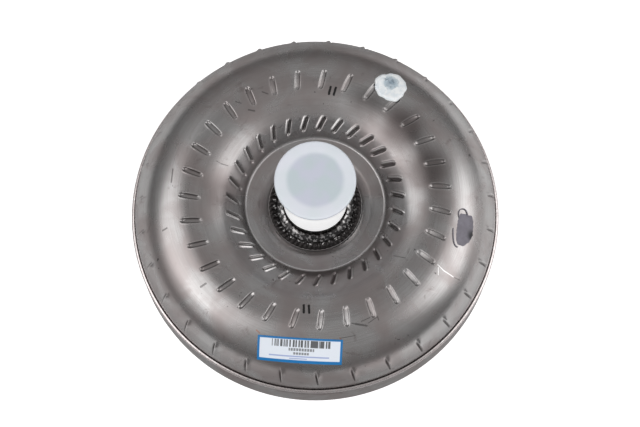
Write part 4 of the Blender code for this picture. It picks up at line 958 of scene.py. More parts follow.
put_on(
    new_piece("front_cover_fine", turned(cover_outline, 180), cover_steel, 40),
    "housing",
    "front_cover",
    slot="pressed_steel",
)

# %% [markdown]
# Two kinds of weld show. The closing bead round the rim is laid by machine and nearly smooth, with fine
# ripples. The bead round the hub is heavy, burnt dark, and full of glints. Each is one ripple of metal
# repeated by the tree: a ring of copies with a gap of nothing between them, merged into one closed bead.

# %% Finish: weld metal


def weld_metal(name, base, roughness, ripple, sparkle, relief, bright_within=10.0):
    """Weld metal: dark scale over bright metal, patchy, brighter within a radius, with ripples in relief."""
    look, w, shader, place = start_material(name)
    scale = w.noise(place, 1 / ripple, 3.0, 0.7, 0.4)
    fine = w.noise(place, 3.2 / ripple, 2.0, 0.6)
    radius = w.vector("LENGTH", w.vector("MULTIPLY", place, (1.0, 1.0, 0.0)), out="Value")
    shade = w.ramp(radius, bright_within, bright_within + 1.5 * MM, 0.0, 0.16)
    patchy = w.math("SUBTRACT", w.math("ADD", scale, w.math("MULTIPLY", fine, 0.35)), shade)
    bare = w.ramp(patchy, 0.72, 0.86)
    tone = w.colour(bare, grey(base, 0.06), grey(sparkle, 0.01))
    w.tree.links.new(tone, shader.inputs["Base Color"])
    shader.inputs["Metallic"].default_value = 1.0
    w.tree.links.new(w.ramp(scale, 0.3, 0.7, roughness * 1.5, roughness * 0.7), shader.inputs["Roughness"])
    height = w.math("ADD", scale, w.math("MULTIPLY", fine, 0.5))
    bump = w.node("ShaderNodeBump", {"Strength": relief, "Distance": ripple * 0.22, "Height": height})
    w.tree.links.new(bump.outputs[0], shader.inputs["Normal"])
    return look


hub_weld_metal = weld_metal("burnt_weld", 0.035, 0.20, 0.0026, 0.90, 0.7, 0.0336)
rim_weld_metal = weld_metal("rim_weld", 0.66, 0.26, 0.0030, 0.74, 0.03)

# %% Both beads


def bead(name, outline, ripples, depth, look, columns=5):
    """One ripple of a weld bead: the outline swept over a small turn and swollen in its middle."""
    turn = 2 * pi / ripples
    mid_r = sum(r for r, z in outline) / len(outline)
    mid_z = min(z for r, z in outline)
    bm = bmesh.new()
    lines = []
    for c in range(columns + 1):
        t = c / columns
        swell = 1 - depth * (1 - sin(pi * t) ** 0.7)
        line = []
        for r, z in outline:
            height = (z - mid_z) * swell
            reach = mid_r + (r - mid_r) * (1 - depth * 0.25 * (1 - sin(pi * t)))
            bow = turn * (0.9 * height / (2.2 * MM)) if c not in (0, columns) else 0.0
            angle = turn * t + bow * 0.12
            line.append(bm.verts.new((reach * cos(angle), reach * sin(angle), mid_z + height)))
        lines.append(line)
    for a, b in zip(lines, lines[1:]):
        for i in range(len(outline)):
            j = (i + 1) % len(outline)
            bm.faces.new((a[i], a[j], b[j], b[i]))
    mesh = bpy.data.meshes.new(name)
    bm.to_mesh(mesh)
    bm.free()
    mesh.materials.append(look)
    piece = bpy.data.objects.new(name, mesh)
    bpy.context.scene.collection.objects.link(piece)
    return face_outwards(repeat_round(piece, ripples, seam=2e-6, sharp=60))


hub_bead_outline = ease_corners(
    [
        (30.6 * MM, WELD_BOTTOM, 0),
        (WELD_REACH, WELD_BOTTOM, 0),
        (WELD_REACH - 0.5 * MM, WELD_BOTTOM + 1.0 * MM, 0.6 * MM),
        (36.0 * MM, WELD_BOTTOM + 1.3 * MM, 0.5 * MM),
        (35.2 * MM, WELD_TOP, 0.8 * MM),
        (32.2 * MM, WELD_TOP, 0.9 * MM),
        (31.0 * MM, WELD_BOTTOM + 1.2 * MM, 0.5 * MM),
    ],
    2,
)
put_on(
    bead("hub_weld_fine", hub_bead_outline, 58, 0.42, hub_weld_metal),
    "housing",
    "hub_weld",
    slot="weld_bead",
)
rim_bead_outline = ease_corners(
    [
        (147.25 * MM, BEAD_BOTTOM, 0),
        (149.7 * MM, BEAD_BOTTOM, 0.2 * MM),
        (149.98 * MM, BEAD_BOTTOM + 0.6 * MM, 0.4 * MM),
        (149.2 * MM, BEAD_TOP - 0.55 * MM, 0.4 * MM),
        (147.8 * MM, BEAD_TOP, 0.4 * MM),
        (147.2 * MM, BEAD_BOTTOM + 0.9 * MM, 0.3 * MM),
    ],
    4,
)
put_on(
    bead("closure_weld_fine", rim_bead_outline, 240, 0.02, rim_weld_metal, 3),
    "housing",
    "closure_weld",
    slot="weld_bead",
)

# %% [markdown]
# The impeller hub is a ground steel sleeve, brighter than the shell, with two slots in its end that drive
# the oil pump. The sleeve is turned and the slots are cut with a Boolean, which is safe here because the
# cutters are plain boxes that pass right through one wall. The small chamfers follow the CAD.

# %% Impeller hub
hub_r = 23.8 * MM
bore_r = 19.5 * MM
flange_top = WELD_BOTTOM - 0.3 * MM
hub_outline = ease_corners(
    [
        (bore_r + 2.0 * MM, HUB_BOTTOM, 0.3 * MM),
        (HUB_FLANGE, HUB_BOTTOM, 0.5 * MM),
        (HUB_FLANGE, flange_top, 0.2 * MM),
        (hub_r + 1.2 * MM, flange_top + 0.2 * MM, 3.4 * MM),
        (hub_r, flange_top + 8.0 * MM, 0.2 * MM),
        (hub_r, HUB_TOP, 0.9 * MM),
        (bore_r, HUB_TOP, 0.6 * MM),
        (bore_r, HUB_BOTTOM + 2.0 * MM, 0.2 * MM),
    ],
    4,
)
hub_steel, w, shader, place, colour, bump = steel("hub_steel_fine", 0.56, 0.24, 0.00035, 0.00003, 0.3, 0.02)
parts = w.node("ShaderNodeSeparateXYZ", {0: place}).outputs
radius = w.vector("LENGTH", w.vector("MULTIPLY", place, (1.0, 1.0, 0.0)), out="Value")
near_weld = w.math("SUBTRACT", parts[2], w.math("MULTIPLY", w.noise(place, 400.0, 3.0), 6 * MM))
burnt = w.ramp(near_weld, flange_top + 0.2 * MM, flange_top + 4.5 * MM, 0.9, 0.0)
spatter = w.ramp(w.noise(place, 420.0, 2.0), 0.50, 0.60, 1.0, 0.1)
colour = w.colour(w.math("MULTIPLY", burnt, spatter), colour, grey(0.012, 0.04))
w.tree.links.new(colour, shader.inputs["Base Color"])
hub = new_piece("impeller_hub_fine", turned(hub_outline, 128), hub_steel, 30)


def brick(size, centre):
    bm = bmesh.new()
    bmesh.ops.create_cube(bm, size=1.0)
    bmesh.ops.scale(bm, vec=size, verts=bm.verts)
    bmesh.ops.translate(bm, vec=centre, verts=bm.verts)
    return bm


def cut_away(piece, cutter):
    """Takes the cutter's shape out of the piece and keeps the result as a plain mesh."""
    saw = piece.modifiers.new("saw", "BOOLEAN")
    saw.operation, saw.solver, saw.object = "DIFFERENCE", "EXACT", cutter
    bpy.context.view_layer.update()
    cut_mesh = bpy.data.meshes.new_from_object(
        piece.evaluated_get(bpy.context.evaluated_depsgraph_get())
    )
    piece.modifiers.remove(saw)
    cut_mesh.name = piece.name
    cut_mesh.set_sharp_from_angle(angle=radians(30))
    piece.data = cut_mesh
    bpy.data.objects.remove(cutter)


for side in (-1, 1):
    slot_box = brick(
        (8.3 * MM, 10.0 * MM, 11.0 * MM), (side * (hub_r + bore_r) / 2, 0, HUB_TOP - 3.5 * MM)
    )
    cut_away(hub, new_piece("slot_cutter", slot_box, machined))
put_on(hub, "housing", "impeller_hub", slot="machined_steel")

# %% [markdown]
# The shipping cap is natural polyethylene: milky, soft-edged, letting light through. Its top is a shallow dish
# with a moulding gate dot at the centre. Real subsurface light would be slow, so the milky look is a pale colour,
# a low gloss, and a painted glow on the thin skirt that stands for the light coming through. The painted glow is
# strong, about half of full white. It is for the camera only and lights nothing. A ring-shaped mask in Object
# coordinates tells the thin web from the thick flange.

# %% Shipping cap
cap_look, w, shader, place = start_material("milky_polyethylene")
parts = w.node("ShaderNodeSeparateXYZ", {0: place}).outputs
radius = w.vector("LENGTH", w.vector("MULTIPLY", place, (1.0, 1.0, 0.0)), out="Value")
cloud = w.noise(place, 45.0, 2.0, 0.5)
web = w.ramp(w.math("ADD", radius, w.math("MULTIPLY", cloud, 0.002)), 0.0205, 0.0255, 1.0, 0.0)
flange_tone = w.colour(w.ramp(cloud, 0.35, 0.65), (0.72, 0.775, 0.82, 1), (0.76, 0.79, 0.86, 1))
web_tone = w.colour(w.ramp(cloud, 0.4, 0.6), (0.55, 0.63, 0.67, 1), (0.59, 0.62, 0.72, 1))
on_top = w.ramp(parts[2], CAP_TOP - 4.4 * MM, CAP_TOP - 3.6 * MM)
top_tone = w.colour(web, flange_tone, web_tone)
w.tree.links.new(w.colour(on_top, (0.66, 0.67, 0.68, 1), top_tone), shader.inputs["Base Color"])
w.tree.links.new(w.ramp(cloud, 0.3, 0.7, 0.42, 0.5), shader.inputs["Roughness"])
# Painted glow on the skirt, seen by the camera alone.
glow = w.colour(w.ramp(parts[2], CAP_TOP - 5.4 * MM, CAP_TOP - 4.4 * MM), grey(0.54), grey(0.0))
w.tree.links.new(glow, shader.inputs["Emission Color"])
camera_ray = w.node("ShaderNodeLightPath").outputs["Is Camera Ray"]
w.tree.links.new(camera_ray, shader.inputs["Emission Strength"])
cap_bore = hub_r + 0.3 * MM
skirt = cap_bore + 1.3 * MM
under = CAP_TOP - 3.4 * MM
flange_under = CAP_TOP - 4.6 * MM
cap_outline = ease_corners(
    [
        (0.0, under, 0),
        (cap_bore, under, 0.3 * MM),
        (cap_bore, CAP_BOTTOM, 0.3 * MM),
        (skirt, CAP_BOTTOM, 0.3 * MM),
        (skirt, flange_under, 0.8 * MM),
        (CAP_REACH, flange_under, 1.2 * MM),
        (CAP_REACH, CAP_TOP, 1.6 * MM),
        (25.0 * MM, CAP_TOP - 0.05 * MM, 2.4 * MM),
        (21.8 * MM, CAP_TOP - 0.45 * MM, 2.4 * MM),
        (1.5 * MM, CAP_TOP - 0.45 * MM, 0.4 * MM),
        (1.0 * MM, CAP_TOP - 0.32 * MM, 0.3 * MM),
        (0.0, CAP_TOP - 0.32 * MM, 0),
    ],
    5,
)
put_on(
    new_piece("shipping_cap_fine", turned(cap_outline, 128), cap_look, 50),
    "cap",
    "shipping_cap",
    slot="cap_polyethylene",
)

# %% [markdown]
# The label is a vinyl sticker with a blue edge, a white field, a row of bars and a few ruled lines. It has
# no words here. A decal image would be the usual way; nodes on the sheet's own UV map do the same with no
# file. The sheet is a flat rectangle dropped onto the torus, so its edges stay straight as a sticker's do.

# %% A sheet that lies on the shell


def sheet_on_shell(name, centre, size, tilt, lift, thick, steps, look):
    """A thin rectangle dropped straight onto the shell along the shell's normal at its centre."""
    radius, degrees = centre
    middle = on_shell(radius, degrees)
    normal = (on_shell(radius, degrees, 1 * MM) - middle).normalized()
    sideways = Vector((-sin(radians(degrees)), cos(radians(degrees)), 0))
    upward = normal.cross(sideways)
    across = sideways * cos(tilt) + upward * sin(tilt)
    up = upward * cos(tilt) - sideways * sin(tilt)
    bm = bmesh.new()
    uv = bm.loops.layers.uv.new("sheet")
    columns, rows = steps
    layers = []
    for height in (lift, lift + thick):
        grid = []
        for i in range(columns + 1):
            for j in range(rows + 1):
                a, b = (i / columns - 0.5) * size[0], (j / rows - 0.5) * size[1]
                spot = middle + across * a + up * b + normal * 6 * MM
                grid.append(bm.verts.new(drop_on_shell(spot, -normal, height)))
        layers.append(grid)
    where = {}
    for grid in layers:
        for k, v in enumerate(grid):
            where[v] = ((k // (rows + 1)) / columns, (k % (rows + 1)) / rows)
    for grid in layers:
        for i in range(columns):
            for j in range(rows):
                k = i * (rows + 1) + j
                bm.faces.new((grid[k], grid[k + rows + 1], grid[k + rows + 2], grid[k + 1]))
    edge = [j for j in range(rows)] + [i * (rows + 1) + rows for i in range(columns)]
    edge += [columns * (rows + 1) + j for j in range(rows, 0, -1)]
    edge += [i * (rows + 1) for i in range(columns, 0, -1)]
    for a, b in zip(edge, edge[1:] + edge[:1]):
        bm.faces.new((layers[0][a], layers[0][b], layers[1][b], layers[1][a]))
    for face in bm.faces:
        for loop in face.loops:
            loop[uv].uv = where[loop.vert]
    return new_piece(name, bm, look, 60)


print("sheets are dropped onto the shell point by point")

# %% [markdown]
# The print is drawn with masks over the sheet's own UV: a window for the white field, bars from an even
# count mixed with a random one, rows of dashes where figures would be, and two fine blue rules.

# %% Label
label_look, w, shader, place = start_material("printed_vinyl")
uv = w.node("ShaderNodeSeparateXYZ", {0: w.node("ShaderNodeUVMap", uv_map="sheet").outputs[0]}).outputs
LABEL_SIZE = (66.6 * MM, 20.6 * MM)


def inside(value, low, high, soft=0.004):
    """1 where the value lies between two limits."""
    rise = w.ramp(value, low - soft, low + soft)
    fall = w.ramp(value, high - soft, high + soft, 1.0, 0.0)
    return w.math("MULTIPLY", rise, fall)


def window(left, right, bottom, top):
    return w.math("MULTIPLY", inside(uv[0], left, right), inside(uv[1], bottom, top, 0.012))


field = window(0.026, 0.974, 0.125, 0.925)
bar_number = w.math("FLOOR", w.math("MULTIPLY", uv[0], 112.0))
bar_noise = w.node("ShaderNodeTexWhiteNoise", {"W": bar_number}, noise_dimensions="1D").outputs[0]
even = w.math("GREATER_THAN", w.math("FRACT", w.math("MULTIPLY", uv[0], 28.0)), 0.62)
uneven = w.math("GREATER_THAN", bar_noise, 0.55)
bars = w.math("MULTIPLY", w.math("MAXIMUM", even, uneven), window(0.17, 0.87, 0.64, 0.91))
dash = w.math("GREATER_THAN", w.math("FRACT", w.math("MULTIPLY", uv[0], 31.0)), 0.22)
rules = w.math("ADD", window(0.37, 0.67, 0.49, 0.60), window(0.42, 0.61, 0.345, 0.44))
rules = w.math("MULTIPLY", rules, dash)
small_print = w.math("ADD", window(0.14, 0.85, 0.245, 0.30), window(0.38, 0.59, 0.165, 0.205))
tone = w.colour(field, (0.008, 0.16, 0.42, 1), (0.72, 0.77, 0.84, 1))
tone = w.colour(w.math("MULTIPLY", rules, 0.75), tone, grey(0.05))
tone = w.colour(w.math("MULTIPLY", small_print, 0.6), tone, (0.08, 0.16, 0.5, 1))
tone = w.colour(w.math("MULTIPLY", bars, 0.88), tone, grey(0.02))
w.tree.links.new(tone, shader.inputs["Base Color"])
shader.inputs["Roughness"].default_value = 0.38
label = sheet_on_shell(
    "information_label_fine",
    (124.6 * MM, 264.4),
    LABEL_SIZE,
    radians(2.0),
    0.45 * MM,
    0.2 * MM,
    (36, 12),
    label_look,
)
put_on(label, "housing", "information_label", slot="label_vinyl")

# %% [markdown]
# A daub of set sealant and a torn flake of grey paint are also stuck to the shell. Neither follows a rule, so
# each is a small round grid of points with a given edge, dropped onto the shell and raised by a profile: high
# shoulders and a dished middle for the sealant, almost flat for the flake.

# %% Sealing patch


def daub(name, centre, edge, height, look, rings=10, sides=72, base=0.45 * MM):
    """A round blob on the shell. edge(angle) is its reach, and height(share, angle) its thickness."""
    radius, degrees = centre
    middle = on_shell(radius, degrees)
    normal = (on_shell(radius, degrees, 1 * MM) - middle).normalized()
    sideways = Vector((-sin(radians(degrees)), cos(radians(degrees)), 0))
    upward = normal.cross(sideways)
    bm = bmesh.new()

    def spot(share, angle, lift):
        reach = edge(angle) * share
        at = middle + sideways * reach * cos(angle) + upward * reach * sin(angle) + normal * 6 * MM
        return bm.verts.new(drop_on_shell(at, -normal, lift))

    levels = [[spot(1.0, 2 * pi * i / sides, base * 0.2) for i in range(sides)]]
    for k in range(rings):
        share = 1 - k / rings
        levels.append(
            [spot(share, 2 * pi * i / sides, base + height(share, 2 * pi * i / sides)) for i in range(sides)]
        )
    for low, high in zip(levels, levels[1:]):
        for i in range(sides):
            j = (i + 1) % sides
            bm.faces.new((low[i], low[j], high[j], high[i]))
    for level, lift in ((levels[0], base * 0.2), (levels[-1], base + height(0.0, 0.0))):
        tip = spot(0.0, 0.0, lift)
        for i in range(sides):
            bm.faces.new((level[i], level[(i + 1) % sides], tip))
    return new_piece(name, bm, look, 70)


def sealant_edge(angle):
    wander = 0.045 * sin(3 * angle + 0.6) + 0.03 * sin(5 * angle + 2.0) + 0.02 * sin(11 * angle)
    return 13.1 * MM * (1 + wander)


def sealant_height(share, angle):
    at = Vector((share * cos(angle) - 0.08, share * sin(angle) - 0.26))
    dish_share = min(1.0, at.length / 0.60)
    shoulder = min(1.0, (1 - share) / 0.12) ** 0.5
    folds = 0.10 * sin(9 * angle + 14 * share) * (1 - dish_share) + 0.06 * sin(13 * angle)
    return MM * (0.15 + 1.0 * shoulder - 0.75 * (1 - dish_share**3) + 0.5 * folds)


seal_look, w, shader, place = start_material("set_sealant")
cloud = w.noise(place, 260.0, 3.0, 0.6, 0.8)
dish_at = on_shell(115.2 * MM, 57.8)
offset = w.vector("LENGTH", w.vector("SUBTRACT", place, tuple(dish_at)), out="Value")
dish_mask = w.ramp(w.math("ADD", offset, w.math("MULTIPLY", cloud, 0.004)), 0.0068, 0.0095, 1.0, 0.0)
rim_tone = w.colour(w.ramp(cloud, 0.35, 0.65), (0.80, 0.86, 0.90, 1), (0.93, 0.96, 0.97, 1))
# The dish is blue-grey, with painted shade that darkens it towards its middle.
dish_tone_and_shade = w.colour(w.ramp(offset, 0.0005, 0.006), (0.27, 0.35, 0.42, 1), (0.50, 0.59, 0.65, 1))
dish_tone_and_shade = w.colour(w.ramp(cloud, 0.5, 0.72, 0.0, 0.5), dish_tone_and_shade, (0.75, 0.81, 0.86, 1))
streaks = w.ramp(w.noise(place, 330.0, 4.0, 0.7, 1.6), 0.52, 0.60, 0.0, 0.75)
dish_tone_and_shade = w.colour(streaks, dish_tone_and_shade, (0.13, 0.17, 0.21, 1))
w.tree.links.new(w.colour(dish_mask, rim_tone, dish_tone_and_shade), shader.inputs["Base Color"])
w.tree.links.new(w.ramp(cloud, 0.3, 0.7, 0.30, 0.5), shader.inputs["Roughness"])
bump = w.node("ShaderNodeBump", {"Strength": 0.5, "Distance": 0.0003, "Height": cloud})
w.tree.links.new(bump.outputs[0], shader.inputs["Normal"])
put_on(
    daub("sealing_patch_fine", (112.8 * MM, 57.0), sealant_edge, sealant_height, seal_look, 14, 96),
    "housing",
    "sealing_patch",
    slot="sealant",
)

# %% [markdown]
# The flake uses the same daub, with an edge that runs between listed corners. Each corner is the angle it lies at
# and its reach in millimetres. Towards one spot on its outer edge the colour darkens to near black.

# %% Paint flake
flake_corners = ((23, 13.4), (55, 7.9), (105, 6.4), (140, 8.4), (167, 13.4), (188, 13.6))
flake_corners += ((222, 10.6), (255, 9.1), (300, 9.0), (340, 13.9), (383, 13.4))


def flake_edge(angle):
    degrees = (angle * 180 / pi - 23) % 360 + 23
    for (a, low), (b, high) in zip(flake_corners, flake_corners[1:]):
        if degrees <= b:
            t = (degrees - a) / (b - a)
            return MM * (low + (high - low) * t - 0.9 * sin(pi * t) * (b - a) / 50 + 0.2 * sin(17 * angle))
    return flake_corners[0][1] * MM


flake_look, w, shader, place = start_material("grey_paint")
cloud = w.noise(place, 150.0, 3.0, 0.6)
edge_at = on_shell(128.2 * MM, 346.5)
near_edge = w.vector("LENGTH", w.vector("SUBTRACT", place, tuple(edge_at)), out="Value")
tone = w.colour(w.ramp(cloud, 0.35, 0.65), (0.165, 0.155, 0.185, 1), (0.21, 0.20, 0.235, 1))
w.tree.links.new(
    w.colour(w.ramp(near_edge, 0.0015, 0.0065, 0.95, 0.0), tone, (0.015, 0.015, 0.018, 1)),
    shader.inputs["Base Color"],
)
w.tree.links.new(w.ramp(cloud, 0.3, 0.7, 0.45, 0.6), shader.inputs["Roughness"])
put_on(
    daub(
        "paint_flake",
        (121.0 * MM, 347.6),
        flake_edge,
        lambda share, angle: 0.12 * MM * min(1.0, (1 - share) / 0.1),
        flake_look,
        4,
        90,
        0.25 * MM,
    ),
    "housing",
    slot="sealant",
)

# %% [markdown]
# Two threads of the same paint have come loose beside the flake. Each is a smooth curve through a few
# points on the shell, given a round section and turned into a plain mesh. The points are millimetres
# outwards and round the axis from the flake's middle.

# %% Loose threads of paint
threads = {
    "paint_thread_1": ((-6.4, 8.0), (-9.4, 12.6), (-6.6, 17.2), (-1.8, 17.0), (0.6, 12.6)),
    "paint_thread_2": ((-10.2, -1.4), (-9.3, -6.0), (-8.0, -10.5), (-5.6, -15.2), (-2.4, -15.4)),
}
flake_turn = radians(347.6)
outwards = Vector((cos(flake_turn), sin(flake_turn), 0))
round_axis = Vector((-sin(flake_turn), cos(flake_turn), 0))
flake_middle = on_shell(121.0 * MM, 347.6)
flake_normal = (on_shell(121.0 * MM, 347.6, 1 * MM) - flake_middle).normalized()


def round_wire(name, spots, radius, look, smooth=False):
    """A wire of round section along the spots, as a plain closed mesh."""
    curve = bpy.data.curves.new(name, "CURVE")
    curve.dimensions = "3D"
    curve.bevel_depth, curve.bevel_resolution, curve.use_fill_caps = radius, 1, True
    line = curve.splines.new("NURBS" if smooth else "POLY")
    line.points.add(len(spots) - 1)
    for point, spot in zip(line.points, spots):
        point.co = (*spot, 1.0)
    if smooth:
        line.use_endpoint_u, line.order_u, line.resolution_u = True, 4, 6
    shape = bpy.data.objects.new(name + "_curve", curve)
    bpy.context.scene.collection.objects.link(shape)
    bpy.context.view_layer.update()
    mesh = bpy.data.meshes.new_from_object(shape.evaluated_get(bpy.context.evaluated_depsgraph_get()))
    bpy.data.objects.remove(shape)
    mesh.name = name
    mesh.materials.clear()
    mesh.materials.append(look)
    bm = bmesh.new()
    bm.from_mesh(mesh)
    bmesh.ops.remove_doubles(bm, verts=bm.verts, dist=1e-6)
    bmesh.ops.recalc_face_normals(bm, faces=bm.faces)
    for face in bm.faces:
        face.smooth = len(face.verts) == 4
    bm.to_mesh(mesh)
    bm.free()
    wire = bpy.data.objects.new(name, mesh)
    bpy.context.scene.collection.objects.link(wire)
    return wire


for name, places in threads.items():
    spots = []
    for out_mm, round_mm in places:
        above = flake_middle + outwards * out_mm * MM + round_axis * round_mm * MM + flake_normal * 6 * MM
        spots.append(drop_on_shell(above, -flake_normal, 0.75 * MM))
    put_on(round_wire(name, spots, 0.4 * MM, flake_look, smooth=True), "housing", slot="sealant")
print("threads of paint:", len(threads))

# %% [markdown]
# The underside carries the crank pilot, three welded lugs with threaded holes, and two balance weights.
# The pilot is turned. A thread is a ridge that climbs as it turns, but at this size a stack of eased rings reads
# the same and stays closed, so each lug's hole gets such a stack, built ring by ring upwards.

# %% Crank pilot and its weld
pilot_outline = ease_corners(
    [
        (0.0, PILOT_BOTTOM + 4.0 * MM, 0),
        (4.0 * MM, PILOT_BOTTOM, 0.3 * MM),
        (PILOT_REACH, PILOT_BOTTOM, 1.8 * MM),
        (PILOT_REACH, 17.7 * MM, 0.2 * MM),
        (15.6 * MM, 17.7 * MM, 0),
        (15.6 * MM, PILOT_TOP, 0.4 * MM),
        (0.0, PILOT_TOP, 0),
    ],
    4,
)
put_on(
    new_piece("crank_pilot_fine", turned(pilot_outline, 96), machined, 35),
    "housing",
    "crank_pilot",
    slot="machined_steel",
)
pilot_bead = [
    (PILOT_REACH + 0.3 * MM, 17.7 * MM),
    (PILOT_REACH + 0.3 * MM, 13.9 * MM),
    (PILOT_REACH + 1.4 * MM, 14.1 * MM),
    (PILOT_REACH + 2.6 * MM, 15.0 * MM),
    (PILOT_REACH + 3.6 * MM, 16.2 * MM),
    (PILOT_REACH + 4.2 * MM, 17.7 * MM),
]
pilot_ring = [(r, z) for r, z in pilot_bead]


def pilot_ripple(r, z, angle):
    """Swells the pilot's weld a little, forty times round."""
    depth = 0.12 * MM * abs(sin(20 * angle))
    return (r - depth, z + depth) if z < 17.6 * MM and r > PILOT_REACH + 1 * MM else (r, z)


put_on(
    new_piece("pilot_weld_fine", turned(pilot_ring, 240, pilot_ripple), rim_weld_metal, 70),
    "housing",
    "pilot_weld",
    slot="weld_bead",
)

# %% Mounting lugs with threaded holes
LUG_CIRCLE = 136.5 * MM
LUG_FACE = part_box("mounting_lug_1")[0].z
LUG_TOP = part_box("mounting_lug_1")[1].z
lug_pitch = 1.5 * MM


def lug_block():
    """One lug at +X: a block with eased upright corners and a hole of stacked thread rings."""
    half_x, half_y, ease = 9.0 * MM, 18.0 * MM, 3.2 * MM
    loop = []
    for cx, cy, first in ((1, 1, 0), (-1, 1, 90), (-1, -1, 180), (1, -1, 270)):
        for k in range(7):
            a = radians(first + 15 * k)
            loop.append(
                (cx * (half_x - ease) + ease * cos(a), cy * (half_y - ease) + ease * sin(a))
            )
    levels = [(LUG_FACE, 0.7), (LUG_FACE + 0.25 * MM, 0.2), (LUG_FACE + 0.7 * MM, 0.0)]
    levels += [(LUG_TOP - 0.5 * MM, 0.0), (LUG_TOP, 0.4)]
    bm = bmesh.new()
    skin = []
    for z, inset in levels:
        shrink_x = (half_x - inset * MM) / half_x
        shrink_y = (half_y - inset * MM) / half_y
        skin.append([bm.verts.new((LUG_CIRCLE + x * shrink_x, y * shrink_y, z)) for x, y in loop])
    for low, high in zip(skin, skin[1:]):
        for i in range(len(loop)):
            j = (i + 1) % len(loop)
            bm.faces.new((low[i], low[j], high[j], high[i]))
    sides = len(loop)
    hole = [(5.7 * MM, LUG_FACE), (5.05 * MM, LUG_FACE + 0.7 * MM)]
    z = LUG_FACE + 1.1 * MM
    while z < LUG_TOP - 1.6 * MM:
        hole += [(5.05 * MM, z), (5.4 * MM, z + 0.4 * MM), (5.4 * MM, z + 0.75 * MM), (5.05 * MM, z + 1.1 * MM)]
        z += lug_pitch
    hole.append((5.05 * MM, LUG_TOP))
    wall = []
    for r, z in hole:
        ring = []
        for x, y in loop:
            a = atan2(y, x)
            ring.append(bm.verts.new((LUG_CIRCLE + r * cos(a), r * sin(a), z)))
        wall.append(ring)
    for low, high in zip(wall, wall[1:]):
        for i in range(sides):
            j = (i + 1) % sides
            bm.faces.new((low[i], low[j], high[j], high[i]))
    for outer, inner in ((skin[0], wall[0]), (skin[-1], wall[-1])):
        for i in range(sides):
            j = (i + 1) % sides
            bm.faces.new((outer[i], outer[j], inner[j], inner[i]))
    return bm


for number, degrees in enumerate((90, 210, 330), 1):
    block = lug_block()
    for v in block.verts:
        x, y = v.co.x, v.co.y
        c, s = cos(radians(degrees)), sin(radians(degrees))
        v.co.x, v.co.y = x * c - y * s, x * s + y * c
    put_on(
        new_piece(f"mounting_lug_{number}_fine", block, machined, 40),
        "housing",
        f"mounting_lug_{number}",
        slot="machined_steel",
    )

# %% [markdown]
# The damper's six springs are coils whose axes are arcs. In the real damper they shorten as the two plates turn
# against each other. Each is made here as two half springs with finer wire than the CAD has.

# %% Damper springs in two halves
SPRING_PITCH, SPRING_COIL, SPRING_WIRE = 112.0 * MM, 4.6 * MM, 1.3 * MM
first_spring = nodes["damper_spring_1"]
heights = [(first_spring.matrix_world @ v.co).z for v in first_spring.data.vertices]
spring_z = (min(heights) + max(heights)) / 2
half_arc = radians(30 - 11) - (SPRING_WIRE + 0.3 * MM) / SPRING_PITCH
TURNS, POINTS = 6, 14
for number in range(6):
    middle = radians(60 * number + 30)
    for side, letter in ((-1, "a"), (1, "b")):
        spots = []
        for i in range(TURNS * POINTS // 2 + 1):
            share = side * i / (TURNS * POINTS / 2)
            turn = pi * TURNS * (1 + share)
            angle = middle + half_arc * share
            reach = SPRING_PITCH + (SPRING_COIL - SPRING_WIRE) * cos(turn)
            height = spring_z + (SPRING_COIL - SPRING_WIRE) * sin(turn)
            spots.append(Vector((reach * cos(angle), reach * sin(angle), height)))
        half = round_wire(f"damper_spring_{number + 1}{letter}", spots, SPRING_WIRE, spring)
        if side < 0:
            put_on(half, "damper", f"damper_spring_{number + 1}", slot="spring_steel")
        else:
            put_on(half, "damper", slot="spring_steel")
        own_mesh(half)

# %% [markdown]
# The pieces inside keep their CAD shapes, which are already right, and only change their finish. Each CAD
# node names its own material, so a table from that name to the new finish is all that is needed.

# %% Finishes for the CAD nodes
finish_for = {
    "pressed_steel": cover_steel,
    "machined_steel": machined,
    "weld_bead": rim_weld_metal,
    "spring_steel": spring,
    "cast_aluminium": cast,
    "friction_paper": paper,
    "seal_rubber": rubber,
    "nylon": nylon,
    "cap_polyethylene": cap_look,
    "label_vinyl": label_look,
    "sealant": seal_look,
}
for name, node in nodes.items():
    old = node.data.materials[0].name.split(".")[0] if node.data.materials else ""
    if old not in finish_for:
        print("no finish for", name, old)
        continue
    node.data.materials.clear()
    node.data.materials.append(finish_for[old])
print("finishes set on", len(nodes), "CAD nodes")

# %% [markdown]
# The object stands on a pale floor with two tones, which a real floor wouldn't have: the camera sees it near
# white, and the metal mirrors it darker in the middle and lighter to either side. Both are set for the look of
# the steel. From below the floor is clear, so the underside can be seen.

# %% Floor
floor_mesh = bpy.data.meshes.new("floor")
reach = 3.0
corners = [(-reach, -reach, 0), (reach, -reach, 0), (reach, reach, 0), (-reach, reach, 0)]
floor_mesh.from_pydata(corners, [], [(0, 1, 2, 3)])
floor_look, w, shader, place = start_material("pale_floor")
shader.inputs["Roughness"].default_value = 0.9
shader.inputs["Emission Color"].default_value = (1, 1, 1, 1)
seen = w.node("ShaderNodeLightPath").outputs
across = w.node("ShaderNodeSeparateXYZ", {0: place}).outputs[0]
to_the_right = w.ramp(across, 0.05, 0.30)
to_the_left = w.ramp(across, -0.30, -0.05, 0.65, 0.0)
mirrored = w.colour(w.math("MAXIMUM", to_the_right, to_the_left), grey(0.42), grey(0.95))
w.tree.links.new(w.colour(seen["Is Glossy Ray"], grey(0.9), mirrored), shader.inputs["Base Color"])
behind = w.node("ShaderNodeNewGeometry").outputs["Backfacing"]
w.tree.links.new(w.math("SUBTRACT", 1.0, behind), shader.inputs["Alpha"])
w.tree.links.new(w.math("MULTIPLY", seen["Is Camera Ray"], 0.72), shader.inputs["Emission Strength"])
floor_mesh.materials.append(floor_look)
floor = bpy.data.objects.new("floor", floor_mesh)
floor.location.z = -0.0005
bpy.context.scene.collection.objects.link(floor)
print("the floor is", 2 * reach, "m wide")

